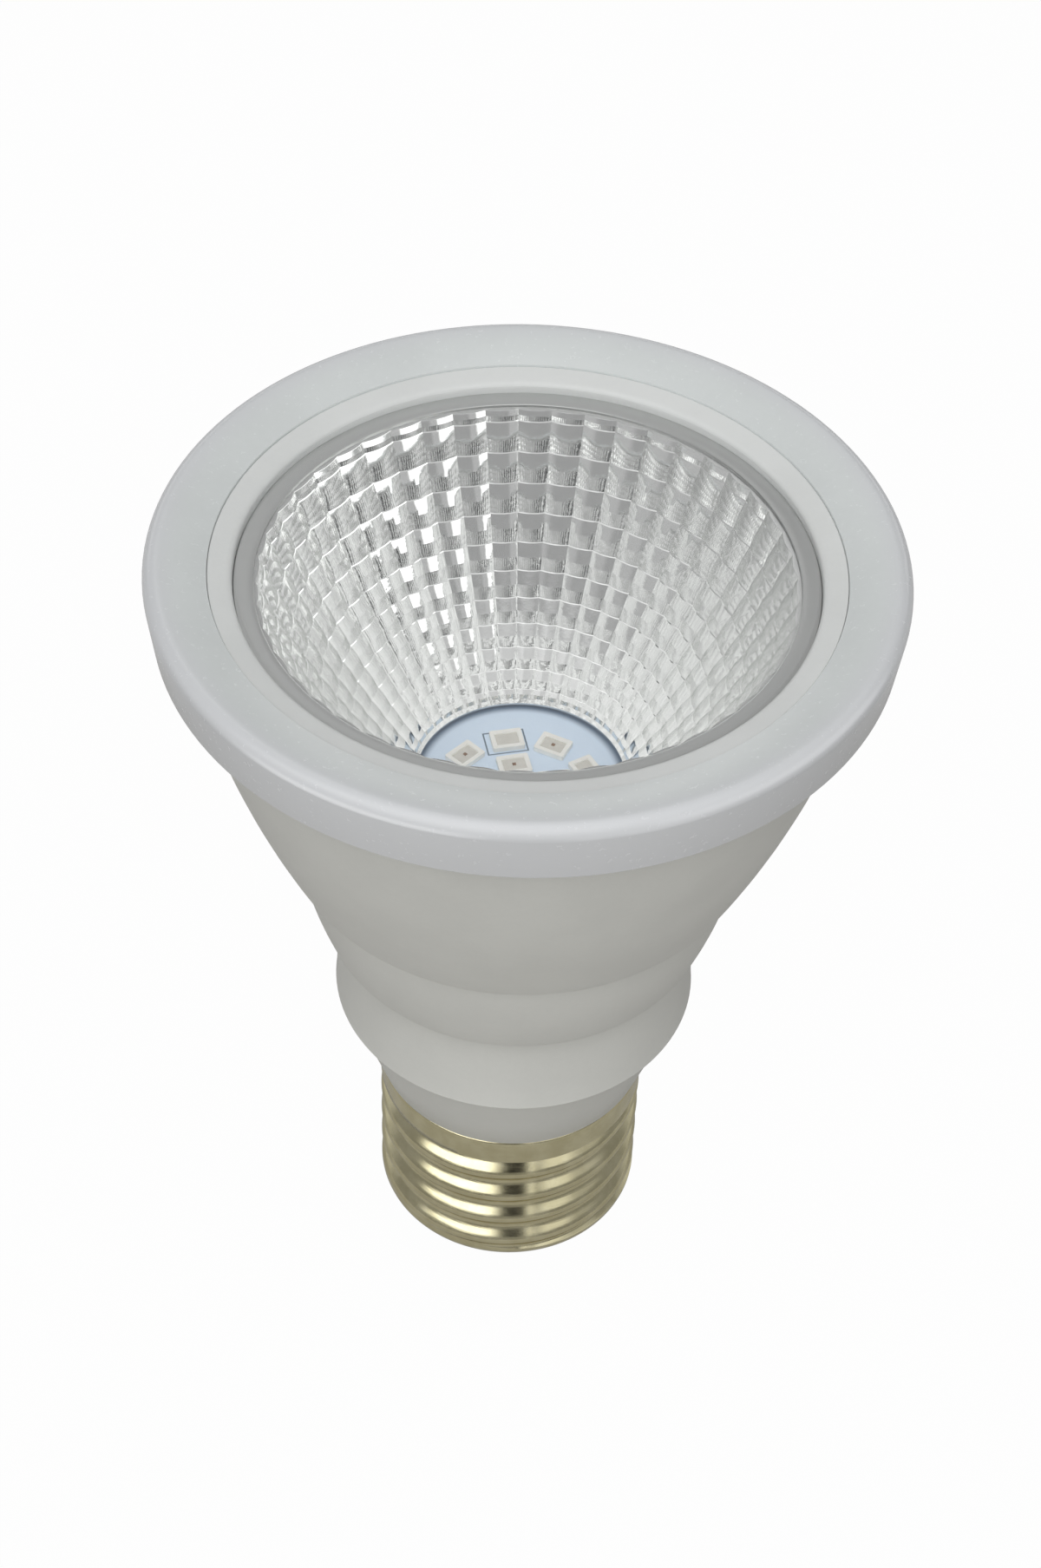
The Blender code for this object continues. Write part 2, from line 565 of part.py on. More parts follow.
def make_reflector():
    """The reflector: flat facets turned in columns, each raised to a shallow pillow."""
    bowl = [bowl_point(share) for share in row_shares()]
    lip_outer = TRIM_INNER_RADIUS - CLEAR
    foot_z = LED_BOARD_TOP + CLEAR
    flange_radius = HOUSING_BORE - CLEAR
    flange_foot = FLANGE_TOP - FLANGE_THICKNESS
    back = inset(bowl, -REFLECTOR_WALL)
    back = [p for p in back if foot_z + REFLECTOR_WALL < p[1] < flange_foot - MM]
    lip = [(bowl[0][0] + LIP_ROUND / 4, LIP_Z - LIP_ROUND / 4), (bowl[0][0] + LIP_ROUND, LIP_Z)]
    profile = list(reversed(bowl)) + lip
    profile += [(lip_outer, LIP_Z), (lip_outer, FLANGE_TOP), (flange_radius, FLANGE_TOP),
                (flange_radius, flange_foot), (back[0][0] + REFLECTOR_WALL / 2, flange_foot)]
    profile += back[::4]
    profile += [(FOOT_OUTER, foot_z + REFLECTOR_WALL), (FOOT_OUTER, foot_z), (BOWL_FOOT[0], foot_z)]
    reflector = turned_surface("reflector", profile, REFLECTOR_COLUMNS, REFLECTOR_FINISH)
    settled(reflector)
    shape = bmesh.new()
    shape.from_mesh(reflector.data)
    cells = [face for face in shape.faces if is_bowl_cell(face)]
    bmesh.ops.poke(shape, faces=cells, offset=PILLOW_HEIGHT, center_mode="MEAN")
    shape.transform(Matrix.Rotation(REFLECTOR_TURN, 4, "Z"))
    shape.to_mesh(reflector.data)
    shape.free()


def is_bowl_cell(face):
    """Whether a face is one of the bowl's facets: it looks at the axis, between mouth and foot."""
    middle = face.calc_center_median()
    towards_axis = Vector((-middle.x, -middle.y, 0.0)).normalized()
    inside_bowl = BOWL_FOOT[1] < middle.z < bowl_point(BOWL_TOP_SHARE)[1]
    return inside_bowl and face.normal.dot(towards_axis) > 0.5


def make_cover():
    """The thin clear cover, bonded on the reflector's lip inside the trim ring."""
    foot = LIP_Z + SOLDER_GAP
    radius = TRIM_INNER_RADIUS - CLEAR
    top = foot + COVER_THICKNESS
    profile = [(0.0, top), (radius, top), (radius, foot), (0.0, foot)]
    smooth(turned_surface("front_cover", profile, FINE_STEPS, CLEAR_PLASTIC))


# The light engine.

def board_holes():
    """Cutters for the holes that the screws and leads share in the board and the cup."""
    holes = []
    height = 30 * MM
    for name, radius, size in (("screw_hole", SCREW_BOLT_RADIUS, SCREW_SHANK_RADIUS + CLEAR),
                               ("lead_hole", LEAD_BOLT_RADIUS, LEAD_RADIUS + CLEAR)):
        for side in (1, -1):
            spot = (radius * side, 0.0, SPREADER_TOP) if name == "screw_hole" \
                else (0.0, radius * side, SPREADER_TOP)
            holes.append(cutter_rod(f"{name}_{'a' if side > 0 else 'b'}", size, spot, height))
    return holes


def make_spreader(holes):
    """The aluminium cup: a flat floor on the housing's seat and a skirt along its wall."""
    heights = [SPREADER_FOOT + SPREADER_HEIGHT * share for share in (1.0, 0.6, 0.25)]
    outer = [(radius_at(HOUSING_INSIDE, z) - CLEAR, z) for z in heights]
    inner = [(r - SPREADER_SKIRT, z) for r, z in reversed(outer)]
    profile = outer + [(CUP_CORNER, SPREADER_FOOT), (0.0, SPREADER_FOOT), (0.0, SPREADER_TOP),
                       (CUP_CORNER - SPREADER_SKIRT, SPREADER_TOP)] + inner
    cup = settled(turned_surface("heat_spreader", profile, FINE_STEPS, ALUMINIUM))
    for hole in holes:
        cut(cup, hole)
    smooth(cup)


def make_led_board(holes):
    """The metal-core board that carries the lamps."""
    bottom = LED_BOARD_TOP - LED_BOARD_THICKNESS
    profile = [(0.0, LED_BOARD_TOP), (LED_BOARD_RADIUS, LED_BOARD_TOP), (LED_BOARD_RADIUS, bottom),
               (0.0, bottom)]
    board = settled(turned_surface("led_board", profile, SHELL_STEPS, LED_BOARD_WHITE))
    for hole in holes:
        cut(board, hole)
    smooth(board)


def make_lamp(number, radius, bearing, turn):
    """One surface-mount lamp: a small tray with a sunk window on top."""
    name = f"led_{number:02d}"
    mesh = bpy.data.meshes.new(name)
    shape = bmesh.new()
    bmesh.ops.create_cube(shape, size=1.0, matrix=Matrix.Diagonal((LED_LENGTH, LED_WIDTH, LED_HEIGHT, 1.0)))
    top = [face for face in shape.faces if face.normal.z > 0.5]
    bmesh.ops.inset_region(shape, faces=top, thickness=LED_WINDOW_BORDER)
    bmesh.ops.translate(shape, verts=top[0].verts, vec=(0.0, 0.0, -LED_WINDOW_DEPTH))
    shape.to_mesh(mesh)
    shape.free()
    lamp = new_object(name, mesh, LAMP_CREAM)
    angle = math.radians(bearing)
    height = LED_BOARD_TOP + SOLDER_GAP + LED_HEIGHT / 2
    lamp.location = (radius * math.cos(angle), radius * math.sin(angle), height)
    lamp.rotation_euler.z = math.radians(turn)


def make_screw(name, side):
    """A pan-head screw that holds the board to the cup."""
    under = LED_BOARD_TOP + CLEAR
    head_top = under + SCREW_HEAD_HEIGHT
    crown = SCREW_HEAD_RADIUS * 0.7
    profile = [(0.0, head_top), (crown, head_top), (SCREW_HEAD_RADIUS, under + SCREW_HEAD_HEIGHT / 2),
               (SCREW_HEAD_RADIUS, under), (SCREW_SHANK_RADIUS, under),
               (SCREW_SHANK_RADIUS, under - SCREW_LENGTH), (0.0, under - SCREW_LENGTH)]
    screw = smooth(turned_surface(name, profile, 12, STEEL))
    screw.location.x = SCREW_BOLT_RADIUS * side


# The driver.

DRIVER_SHOULDER = COLLAR_EDGE_Z + DRIVER_SHOULDER_RISE
DRIVER_TOP = SPREADER_FOOT - DRIVER_TOP_GAP
DRIVER_REACH = min(radius_at(HOUSING_INSIDE, z) for z in (DRIVER_SHOULDER, WAIST_Z)) - CLEAR
DRIVER_HALF_WIDTH = math.sqrt(DRIVER_REACH ** 2 - (DRIVER_THICKNESS / 2) ** 2)
DRIVER_FACE = DRIVER_THICKNESS / 2 + SOLDER_GAP
DRIVER_NARROW_HALF_WIDTH = SPIGOT_BORE - DRIVER_NARROW_MARGIN


def make_driver_board():
    """The upright board: narrow in the neck, with shoulders that stand on the housing's step."""
    outline = [(-DRIVER_NARROW_HALF_WIDTH, DRIVER_BOTTOM), (DRIVER_NARROW_HALF_WIDTH, DRIVER_BOTTOM),
               (DRIVER_NARROW_HALF_WIDTH, DRIVER_SHOULDER), (DRIVER_HALF_WIDTH, DRIVER_SHOULDER),
               (DRIVER_HALF_WIDTH, DRIVER_TOP), (-DRIVER_HALF_WIDTH, DRIVER_TOP),
               (-DRIVER_HALF_WIDTH, DRIVER_SHOULDER), (-DRIVER_NARROW_HALF_WIDTH, DRIVER_SHOULDER)]
    curve = bpy.data.curves.new("driver_board", "CURVE")
    curve.dimensions = "2D"
    curve.fill_mode = "BOTH"
    curve.extrude = DRIVER_THICKNESS / 2
    spline = curve.splines.new("POLY")
    spline.use_cyclic_u = True
    spline.points.add(len(outline) - 1)
    for spot, (x, z) in zip(spline.points, outline):
        spot.co = (x, z, 0.0, 1.0)
    board = place(bpy.data.objects.new("driver_board", curve), BOARD_GREEN)
    board.rotation_euler.x = math.pi / 2


def make_can(name, size, spot, finish):
    """An electrolytic can: a sleeve with a crimp near its foot and a bevelled top."""
    radius, height = size
    crimp = radius * 0.9
    profile = [(0.0, height), (radius * 0.85, height), (radius, height - MM * 0.6),
               (radius, height * 0.22), (crimp, height * 0.17), (radius, height * 0.12),
               (radius, 0.0), (0.0, 0.0)]
    can = smooth(turned_surface(name, profile, SMALL_STEPS, finish))
    can.location = spot


def make_choke(name, size, spot):
    """A drum choke: a winding between two ferrite flanges."""
    radius, height = size
    flange, winding = height * 0.15, radius * 0.82
    profile = [(0.0, height), (radius, height), (radius, height - flange), (winding, height - flange),
               (winding, flange), (radius, flange), (radius, 0.0), (0.0, 0.0)]
    smooth(turned_surface(name, profile, SMALL_STEPS, FERRITE)).location = spot


def make_transformer():
    """The transformer: a wound bobbin through a ferrite frame, joined as one part."""
    wide, deep, tall = TRANSFORMER_SIZE
    centre = Vector((TRANSFORMER_SHARE * DRIVER_HALF_WIDTH, -DRIVER_FACE - deep / 2,
                     DRIVER_TOP - TRANSFORMER_DROP - tall / 2))
    bobbin = block("transformer", (wide * 0.72, deep, tall * 0.8), centre, TAPE_YELLOW, 2 * BLOCK_EDGE)
    frame = block("transformer_frame", (wide, deep * 0.6, tall), centre, None)
    GROUPS["grow_light_bulb"].objects.unlink(frame)
    GROUPS["cutters"].objects.link(frame)
    frame.hide_render = True
    frame.display_type = "WIRE"
    cut(bobbin, frame, "UNION")


def make_driver_parts():
    """Everything that is soldered to the driver board."""
    front, back = -DRIVER_FACE, DRIVER_FACE
    choke_radius, choke_height = CHOKE
    shelf = DRIVER_SHOULDER + PART_LIFT
    main_spot = (MAIN_CAN_SHARE * DRIVER_HALF_WIDTH, front - MAIN_CAN[0], shelf)
    make_can("main_capacitor", MAIN_CAN, main_spot, CAN_SLEEVE)
    output_spot = (OUTPUT_CAN_SHARE * DRIVER_HALF_WIDTH, back + OUTPUT_CAN[0],
                   DRIVER_SHOULDER + OUTPUT_CAN_LIFT)
    make_can("output_capacitor", OUTPUT_CAN, output_spot, CAN_SLEEVE)
    choke_spot = (CHOKE_SHARE * DRIVER_HALF_WIDTH, back + choke_radius, shelf + choke_height / 2)
    make_choke("drum_choke", CHOKE, choke_spot)
    make_transformer()
    neck_middle = (DRIVER_BOTTOM + DRIVER_SHOULDER) / 2
    for name, size, side, z, finish in (
            ("film_capacitor", FILM_CAP_SIZE, 1, neck_middle, FILM_RED),
            ("bridge_rectifier", BRIDGE_SIZE, -1, neck_middle + BRIDGE_RISE, BLACK_EPOXY),
            ("driver_chip", CHIP_SIZE, -1, neck_middle, BLACK_EPOXY)):
        spot = (0.0, side * (DRIVER_FACE + size[1] / 2), z)
        block(name, size, spot, finish, BLOCK_EDGE)
    fuse_radius, fuse_height = FUSE_SIZE
    body = [(0.0, fuse_height), (fuse_radius * 0.8, fuse_height), (fuse_radius, fuse_height - MM),
            (fuse_radius, MM), (fuse_radius * 0.8, 0.0), (0.0, 0.0)]
    fuse = smooth(turned_surface("fusible_resistor", body, 12, TAPE_YELLOW))
    fuse.location = (0.0, front - fuse_radius, DRIVER_BOTTOM + FUSE_LIFT)


def make_leads():
    """The four leads: contact to fuse, board to shell, and two up to the lamps."""
    fuse_y = -DRIVER_FACE - FUSE_SIZE[0]
    start, end = RIVET_TOP + CLEAR, DRIVER_BOTTOM + FUSE_LIFT - CLEAR
    centre_route = [(0.0, out * fuse_y, start + up * (end - start)) for out, up in CENTRE_LEAD_BENDS]
    wire("centre_lead", centre_route, WIRE_RADIUS, WIRE_RED)
    reach = SHELL_BORE - CLEAR - WIRE_RADIUS
    joint = Vector((DRIVER_NARROW_HALF_WIDTH - SHELL_LEAD_INSET, -DRIVER_FACE - WIRE_RADIUS,
                    DRIVER_BOTTOM + SHELL_LEAD_RISE))
    weld = Vector((reach * math.cos(SHELL_LEAD_BEARING), reach * math.sin(SHELL_LEAD_BEARING),
                   SPIGOT_FOOT - SHELL_LEAD_DROP))
    wire("shell_lead", [joint.lerp(weld, t) for t in (0.0, 0.35, 0.65, 1.0)], WIRE_RADIUS, WIRE_BLACK)
    foot = DRIVER_TOP - LAMP_LEAD_JOINT_DROP
    climb = LED_BOARD_TOP + LAMP_LEAD_PROUD - foot
    near = DRIVER_FACE + LEAD_RADIUS
    for name, side, finish in (("lamp_lead_red", -1, WIRE_RED), ("lamp_lead_black", 1, WIRE_BLACK)):
        route = [(side * across * LAMP_LEAD_X, side * (near + out * (LEAD_BOLT_RADIUS - near)),
                  foot + up * climb) for across, out, up in LAMP_LEAD_BENDS]
        wire(name, route, LEAD_RADIUS, finish)


def main():
    """Build every piece of the bulb."""
    make_shell()
    make_insulator()
    make_contact()
    make_housing()
    make_bezel()
    make_trim_ring()
    make_reflector()
    make_cover()
    holes = board_holes()
    make_spreader(holes)
    make_led_board(holes)
    for number, (radius, bearing, turn) in enumerate(LED_PLACES, start=1):
        make_lamp(number, radius, bearing, turn)
    make_screw("board_screw_a", 1)
    make_screw("board_screw_b", -1)
    make_driver_board()
    make_driver_parts()
    make_leads()


main()
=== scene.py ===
"""Looks for the reflector grow light bulb: its fine pieces, finishes, studio and camera."""
import math

import bmesh
import bpy
from mathutils import Matrix, Vector


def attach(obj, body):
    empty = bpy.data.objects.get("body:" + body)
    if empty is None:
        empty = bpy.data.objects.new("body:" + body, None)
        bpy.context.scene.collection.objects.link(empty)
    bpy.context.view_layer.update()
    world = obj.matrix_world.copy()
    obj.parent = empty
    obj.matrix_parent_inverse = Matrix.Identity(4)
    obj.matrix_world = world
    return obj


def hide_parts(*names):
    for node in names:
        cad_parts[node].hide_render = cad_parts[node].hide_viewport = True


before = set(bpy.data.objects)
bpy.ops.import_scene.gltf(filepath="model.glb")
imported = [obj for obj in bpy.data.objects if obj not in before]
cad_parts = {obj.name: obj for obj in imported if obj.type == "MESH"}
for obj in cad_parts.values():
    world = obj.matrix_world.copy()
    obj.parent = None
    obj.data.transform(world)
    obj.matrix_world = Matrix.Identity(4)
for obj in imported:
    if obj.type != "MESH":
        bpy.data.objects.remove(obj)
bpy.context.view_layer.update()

MM = 0.001

# Heights and radii of the bulb, in millimetres from the contact. Most are its solids' own. The
# thread's fade, the lip and the bowl's mouth follow the photograph.
SHELL_FOOT = 6.5
SHELL_TOP = 25.5
SHELL_RADIUS = 13.1
SHELL_WALL = 0.35
THREAD_PITCH = 3.629
THREAD_DEPTH = 1.0
THREAD_FADE = 0.6
THREAD_ROWS = 84
FIRST_CREST = SHELL_TOP - 5.4
COLLAR_FOOT = SHELL_TOP - 3.0
COLLAR_EDGE = SHELL_TOP - 0.08
FOOT_BEND = 1.6
BODY_TOP = 84.4
HOUSING_TOP = 86.6
BEZEL_TOP = 90.55
LIP_Z = 87.90
LIP_RADIUS = 25.3
BOARD_TOP = 62.9
BOARD_FOOT = 61.7
BOARD_RADIUS = 16.5

# The bowl: radius and height of its mouth and foot, and its facets. A column is drawn in eighths.
MOUTH = (23.5, 87.75)
BOWL_FOOT = (9.9, 63.8)
ROLL_FOOT_RADIUS = MOUTH[0] + 0.08
ROLL_WIDTH = 0.64
ROLL_HEIGHT = 0.12
EIGHTHS = 8
FACET_COLUMNS = 48
FACET_TURN = math.radians(3.5)
FACET_BULGE = 0.0112
FACET_ROWS = [0.008] + [0.046 + 0.106 * k - 0.00014 * k ** 3 for k in range(11)] + [1.0]

# The lamps: radius, bearing and turn of each, its tray's size, and which have a chip in sight.
LAMP_PLACES = (
    (5.85, 153, 47), (5.08, 106, 13), (5.20, 56, -25), (6.20, 12, -58), (1.72, 112, 14),
    (3.20, 355, 10), (5.80, 200, -70), (5.40, 243, -27), (5.30, 285, 15), (6.00, 325, 55),
    (2.20, 230, 14),
)
TRAY = (3.0, 2.35, 0.5)
TRAY_RIM = 0.40
WINDOW_DEPTH = 0.10
OUTLINED_LAMP = 2
LAMPS_WITH_DIE = (1, 3, 5, 7, 9, 10)

# The photograph's camera: focal length and height in its pixels, angles, and place in metres.
PHOTO_FOCUS = 3491.9
PHOTO_HEIGHT = 1807
SENSOR_HEIGHT = 24.0
CAMERA_PITCH = 0.794778
CAMERA_ROLL = 0.0364878
CAMERA_PLACE = (0.0, -0.19523, 0.2613)

# The ring of cards about the bulb's foot, in millimetres.
CARD_RADIUS = 110
CARD_FOOT = 1
CARD_TOP = 86

WHITE = (1.0, 1.0, 1.0)


# Shader maths.

class Wire:
    """One output of a node, with arithmetic that adds Math nodes."""

    def __init__(self, finish, socket):
        self.finish = finish
        self.socket = socket

    def maths(self, operation, *values):
        return self.finish.node("ShaderNodeMath", {"operation": operation},
                                {i: value for i, value in enumerate(values)})

    def __add__(self, other):
        return self.maths("ADD", self, other)

    def __radd__(self, other):
        return self.maths("ADD", other, self)

    def __sub__(self, other):
        return self.maths("SUBTRACT", self, other)

    def __rsub__(self, other):
        return self.maths("SUBTRACT", other, self)

    def __mul__(self, other):
        return self.maths("MULTIPLY", self, other)

    def __rmul__(self, other):
        return self.maths("MULTIPLY", other, self)

    def __pow__(self, other):
        return self.maths("POWER", self, other)

    def size(self):
        return self.maths("ABSOLUTE", self)

    def most(self, other):
        return self.maths("MAXIMUM", self, other)

    def rise(self, start, end):
        """0 below start, 1 above end, with a smooth step between."""
        return self.finish.node("ShaderNodeMapRange", {"interpolation_type": "SMOOTHSTEP"},
                                {"Value": self, "From Min": start, "From Max": end})

    def fall(self, start, end):
        return 1 - self.rise(start, end)


class Finish:
    """A node material, or the world's, while its nodes are laid out."""

    def __init__(self, owner):
        self.owner = owner
        owner.use_nodes = True
        self.tree = owner.node_tree
        self.tree.nodes.clear()

    def node(self, kind, settings, values, output=None):
        """Add one node: its settings, then its sockets' values or links. Gives one output."""
        made = self.tree.nodes.new(kind)
        for name, value in settings.items():
            setattr(made, name, value)
        for name, value in values.items():
            socket = made.inputs[name] if isinstance(name, int) else self.named(made.inputs, name)
            self.feed(socket, value)
        if output is None:
            return Wire(self, next((s for s in made.outputs if s.enabled), None))
        return Wire(self, self.named(made.outputs, output))

    def named(self, sockets, name):
        return next(s for s in sockets if s.enabled and s.name == name)

    def feed(self, socket, value):
        if isinstance(value, Wire):
            self.tree.links.new(value.socket, socket)
        elif isinstance(value, tuple) and len(value) == 3 and socket.type == "RGBA":
            socket.default_value = (*value, 1.0)
        else:
            socket.default_value = value

    def place(self):
        """The place on the bulb, in millimetres."""
        spot = self.node("ShaderNodeTexCoord", {}, {}, "Object")
        return self.node("ShaderNodeVectorMath", {"operation": "SCALE"},
                         {"Vector": spot, "Scale": 1 / MM})

    def parts(self, vector):
        """The x, y and z of a vector."""
        return [self.node("ShaderNodeSeparateXYZ", {}, {"Vector": vector}, axis) for axis in "XYZ"]

    def from_axis(self, vector):
        """How far a place is from the bulb's axis."""
        x, y, _ = self.parts(vector)
        return (x * x + y * y) ** 0.5

    def noise(self, vector, scale, detail=2.0, roughness=0.5):
        return self.node("ShaderNodeTexNoise", {},
                         {"Vector": vector, "Scale": scale, "Detail": detail,
                          "Roughness": roughness}, "Fac")

    def blend(self, share, low, high):
        """A colour between two others."""
        return self.node("ShaderNodeMix", {"data_type": "RGBA"},
                         {"Factor": share, "A": low, "B": high}, "Result")

    def bump(self, height, depth):
        """A bump whose height of 1 is depth millimetres."""
        return self.node("ShaderNodeBump", {},
                         {"Height": height, "Distance": depth * MM, "Strength": 1.0})

    def ray_is(self, kind):
        """1 for the rays of one kind, as the Light Path node names them."""
        return self.node("ShaderNodeLightPath", {}, {}, kind)

    def surface(self, values):
        """The Principled shader on the output."""
        shader = self.node("ShaderNodeBsdfPrincipled", {}, values)
        self.node("ShaderNodeOutputMaterial", {}, {"Surface": shader})
        return self.owner


def new_finish(name):
    return Finish(bpy.data.materials.new(name))


def band(value, start, end, soft=0.06):
    """1 between two values, with soft ends."""
    return value.rise(start - soft, start + soft) * value.fall(end - soft, end + soft)


def panel(bearing, height, sides, ends, soft=0.06):
    """A soft-edged rectangle in the studio: 1 within its bearings and its heights."""
    return band(bearing, *sides, soft) * band(height, *ends, soft)


# Finishes of the outside.

def white_plastic(name, colour, grain, gloss=0.45, rim=None):
    """Matt moulded plastic: fine grain, faint speckle, soft sheen, and, where a rim colour is
    given, painted shade that turns the outer corner and side darker and bluer.
    """
    finish = new_finish(name)
    place = finish.place()
    cloud = finish.noise(place, 0.12, 2.0)
    speckle = finish.noise(place, 1.6, 4.0, 0.7)
    darker = tuple(c * 0.955 for c in colour)
    shade = finish.blend((cloud * 0.7 + speckle * 0.3).rise(0.34, 0.66), darker, colour)
    if rim:
        # Painted shade: the outer land, rounded corner and side blend towards the darker, bluer
        # rim colour.
        shade = finish.blend(finish.from_axis(place).rise(29.5, 32.6) * 0.85, shade, rim)
    fine = finish.noise(place, 7.0, 2.0, 0.6)
    return finish.surface({
        "Base Color": shade,
        "Roughness": 0.53 - 0.36 * gloss + 0.05 * speckle,
        "Specular IOR Level": gloss,
        "Normal": finish.bump(fine, grain),
    })


def facet_chrome():
    """Vacuum-plated facets: a bright metal skin with a trace of haze, and a duller rolled lip."""
    finish = new_finish("facet_chrome")
    place = finish.place()
    haze = finish.noise(place, 1.1, 3.0)
    orange_peel = finish.noise(place, 1.8, 2.0)
    tint = finish.blend(haze, (0.80, 0.81, 0.80), (0.88, 0.885, 0.875))
    lip = finish.parts(place)[2].rise(MOUTH[1] - 0.30, MOUTH[1] - 0.10)
    tint = finish.blend(lip * 0.8, tint, (0.52, 0.53, 0.52))
    return finish.surface({
        "Base Color": tint,
        "Metallic": 1.0,
        "Roughness": 0.045 + 0.05 * haze + 0.26 * lip,
        "Normal": finish.bump(orange_peel, 0.006),
    })


def warm_nickel():
    """Bright nickel on the rolled shell, warm, with drawing streaks and dull patches."""
    finish = new_finish("warm_nickel")
    place = finish.place()
    x, y, z = finish.parts(place)
    patches = finish.noise(place, 0.5, 4.0, 0.6)
    around = finish.node("ShaderNodeCombineXYZ", {}, {"X": x * 0.4, "Y": y * 0.4, "Z": z * 9.0})
    streaks = finish.noise(around, 1.0, 3.0)
    tint = finish.blend(patches.rise(0.35, 0.7), (0.60, 0.55, 0.35), (0.69, 0.64, 0.43))
    return finish.surface({
        "Base Color": tint,
        "Metallic": 1.0,
        "Roughness": 0.10 + 0.12 * patches + 0.05 * streaks,
        "Normal": finish.bump(streaks, 0.008),
    })


def black_glass():
    """The fired black glass of the insulator, glossy with tiny pits."""
    finish = new_finish("black_glass_skin")
    place = finish.place()
    flow = finish.noise(place, 0.8, 3.0)
    pits = finish.noise(place, 4.0, 2.0).fall(0.25, 0.32)
    return finish.surface({
        "Base Color": finish.blend(flow, (0.010, 0.010, 0.012), (0.028, 0.026, 0.030)),
        "Roughness": 0.10 + 0.12 * flow + 0.2 * pits,
        "Normal": finish.bump(flow - pits, 0.04),
    })


def turned_steel(name, colour, roughness):
    """Plain steel or tin with fine turning marks about the bulb's axis."""
    finish = new_finish(name)
    place = finish.place()
    around = finish.node("ShaderNodeCombineXYZ", {},
                         {"X": finish.from_axis(place) * 9.0, "Y": finish.parts(place)[2] * 9.0})
    rings = finish.noise(around, 1.0, 2.0)
    tarnish = finish.noise(place, 0.9, 4.0, 0.6)
    darker = tuple(c * 0.7 for c in colour)
    return finish.surface({
        "Base Color": finish.blend(tarnish.rise(0.3, 0.7), darker, colour),
        "Metallic": 1.0,
        "Roughness": roughness + 0.15 * tarnish,
        "Normal": finish.bump(rings, 0.01),
    })


def clear_cover():
    """The thin clear cover: almost unseen, with a faint gloss."""
    finish = new_finish("clear_cover")
    place = finish.place()
    wave = finish.noise(place, 0.12, 2.0)
    return finish.surface({
        "Base Color": finish.blend(wave, (0.95, 0.97, 0.98), (0.98, 0.99, 0.99)),
        "Roughness": 0.03 + 0.02 * wave,
        "Alpha": 0.035 + 0.01 * wave,
        "Specular IOR Level": 0.2,
    })


# Finishes of the light engine.

def lamp_board_mask():
    """White solder mask with a blue cast, painted shade darkening it towards its rim under the
    reflector's foot, and one lamp's printed outline.
    """
    finish = new_finish("lamp_board_mask")
    place = finish.place()
    x, y, _ = finish.parts(place)
    weave = finish.noise(place, 3.0, 3.0, 0.6)
    base = finish.blend(weave, (0.67, 0.80, 0.96), (0.75, 0.87, 0.99))
    radius, bearing, turn = LAMP_PLACES[OUTLINED_LAMP - 1]
    lean = math.radians(turn)
    # The outline is printed a little off the lamp's middle.
    across = x - (radius * math.cos(math.radians(bearing)) - 0.13)
    along = y - (radius * math.sin(math.radians(bearing)) - 0.02)
    u = (across * math.cos(lean) + along * math.sin(lean)).size()
    v = (along * math.cos(lean) - across * math.sin(lean)).size()
    outline = (u - 1.875).most(v - 1.4).size().fall(0.05, 0.10)
    # Painted shade: the mask darkens to navy towards the rim, where the reflector's foot shades
    # the board.
    shaded = finish.blend((x * x + y * y).rise(77.0, 94.0) * 0.9, base, (0.07, 0.13, 0.22))
    colour = finish.blend(outline * 0.85, shaded, (0.04, 0.08, 0.13))
    return finish.surface({
        "Base Color": colour,
        "Roughness": 0.38 + 0.1 * weave,
        "Normal": finish.bump(weave - outline * 0.5, 0.02),
    })


def lamp_cream():
    """The cream moulded tray of a lamp."""
    finish = new_finish("lamp_cream")
    speck = finish.noise(finish.place(), 4.0, 3.0)
    return finish.surface({
        "Base Color": finish.blend(speck, (0.90, 0.89, 0.83), (0.96, 0.955, 0.91)),
        "Roughness": 0.38 + 0.1 * speck,
        "Normal": finish.bump(speck, 0.012),
    })


def lamp_gel():
    """The clear gel in a lamp's window, grey-beige over its silvered tray."""
    finish = new_finish("lamp_gel")
    cloud = finish.noise(finish.place(), 2.0, 3.0)
    return finish.surface({
        "Base Color": finish.blend(cloud, (0.56, 0.54, 0.48), (0.72, 0.70, 0.64)),
        "Roughness": 0.12 + 0.1 * cloud,
        "Coat Weight": 0.3 + 0.2 * cloud,
    })


def lamp_die():
    """The brown chip under the gel."""
    finish = new_finish("lamp_die")
    cloud = finish.noise(finish.place(), 6.0, 2.0)
    return finish.surface({
        "Base Color": finish.blend(cloud, (0.16, 0.08, 0.04), (0.28, 0.15, 0.08)),
        "Roughness": 0.25 + 0.1 * cloud,
    })


def plain_skin(name, low, high, roughness, scale, depth, metallic=0.0):
    """A finish of one of the hidden parts: two tones, their gloss and their grain."""
    finish = new_finish(name)
    grain = finish.noise(finish.place(), scale, 4.0, 0.6)
    return finish.surface({
        "Base Color": finish.blend(grain.rise(0.3, 0.7), low, high),
        "Metallic": metallic,
        "Roughness": roughness + 0.12 * grain,
        "Normal": finish.bump(grain, depth),
    })


# Modelling by operators.

def alone():
    """Leave edit mode with nothing selected."""
    if bpy.context.object and bpy.context.object.mode != "OBJECT":
        bpy.ops.object.mode_set(mode="OBJECT")
    bpy.ops.object.select_all(action="DESELECT")


def take(obj):
    """Select one object alone and make it the active one."""
    alone()
    obj.select_set(True)
    bpy.context.view_layer.objects.active = obj


def ring(radius, z, steps):
    """A bare circle about the axis, in edit mode."""
    alone()
    bpy.ops.mesh.primitive_circle_add(vertices=steps, radius=radius * MM, location=(0, 0, z * MM))
    bpy.ops.object.mode_set(mode="EDIT")
    bpy.ops.mesh.select_mode(type="EDGE")
    bpy.ops.mesh.select_all(action="SELECT")
    return bpy.context.object


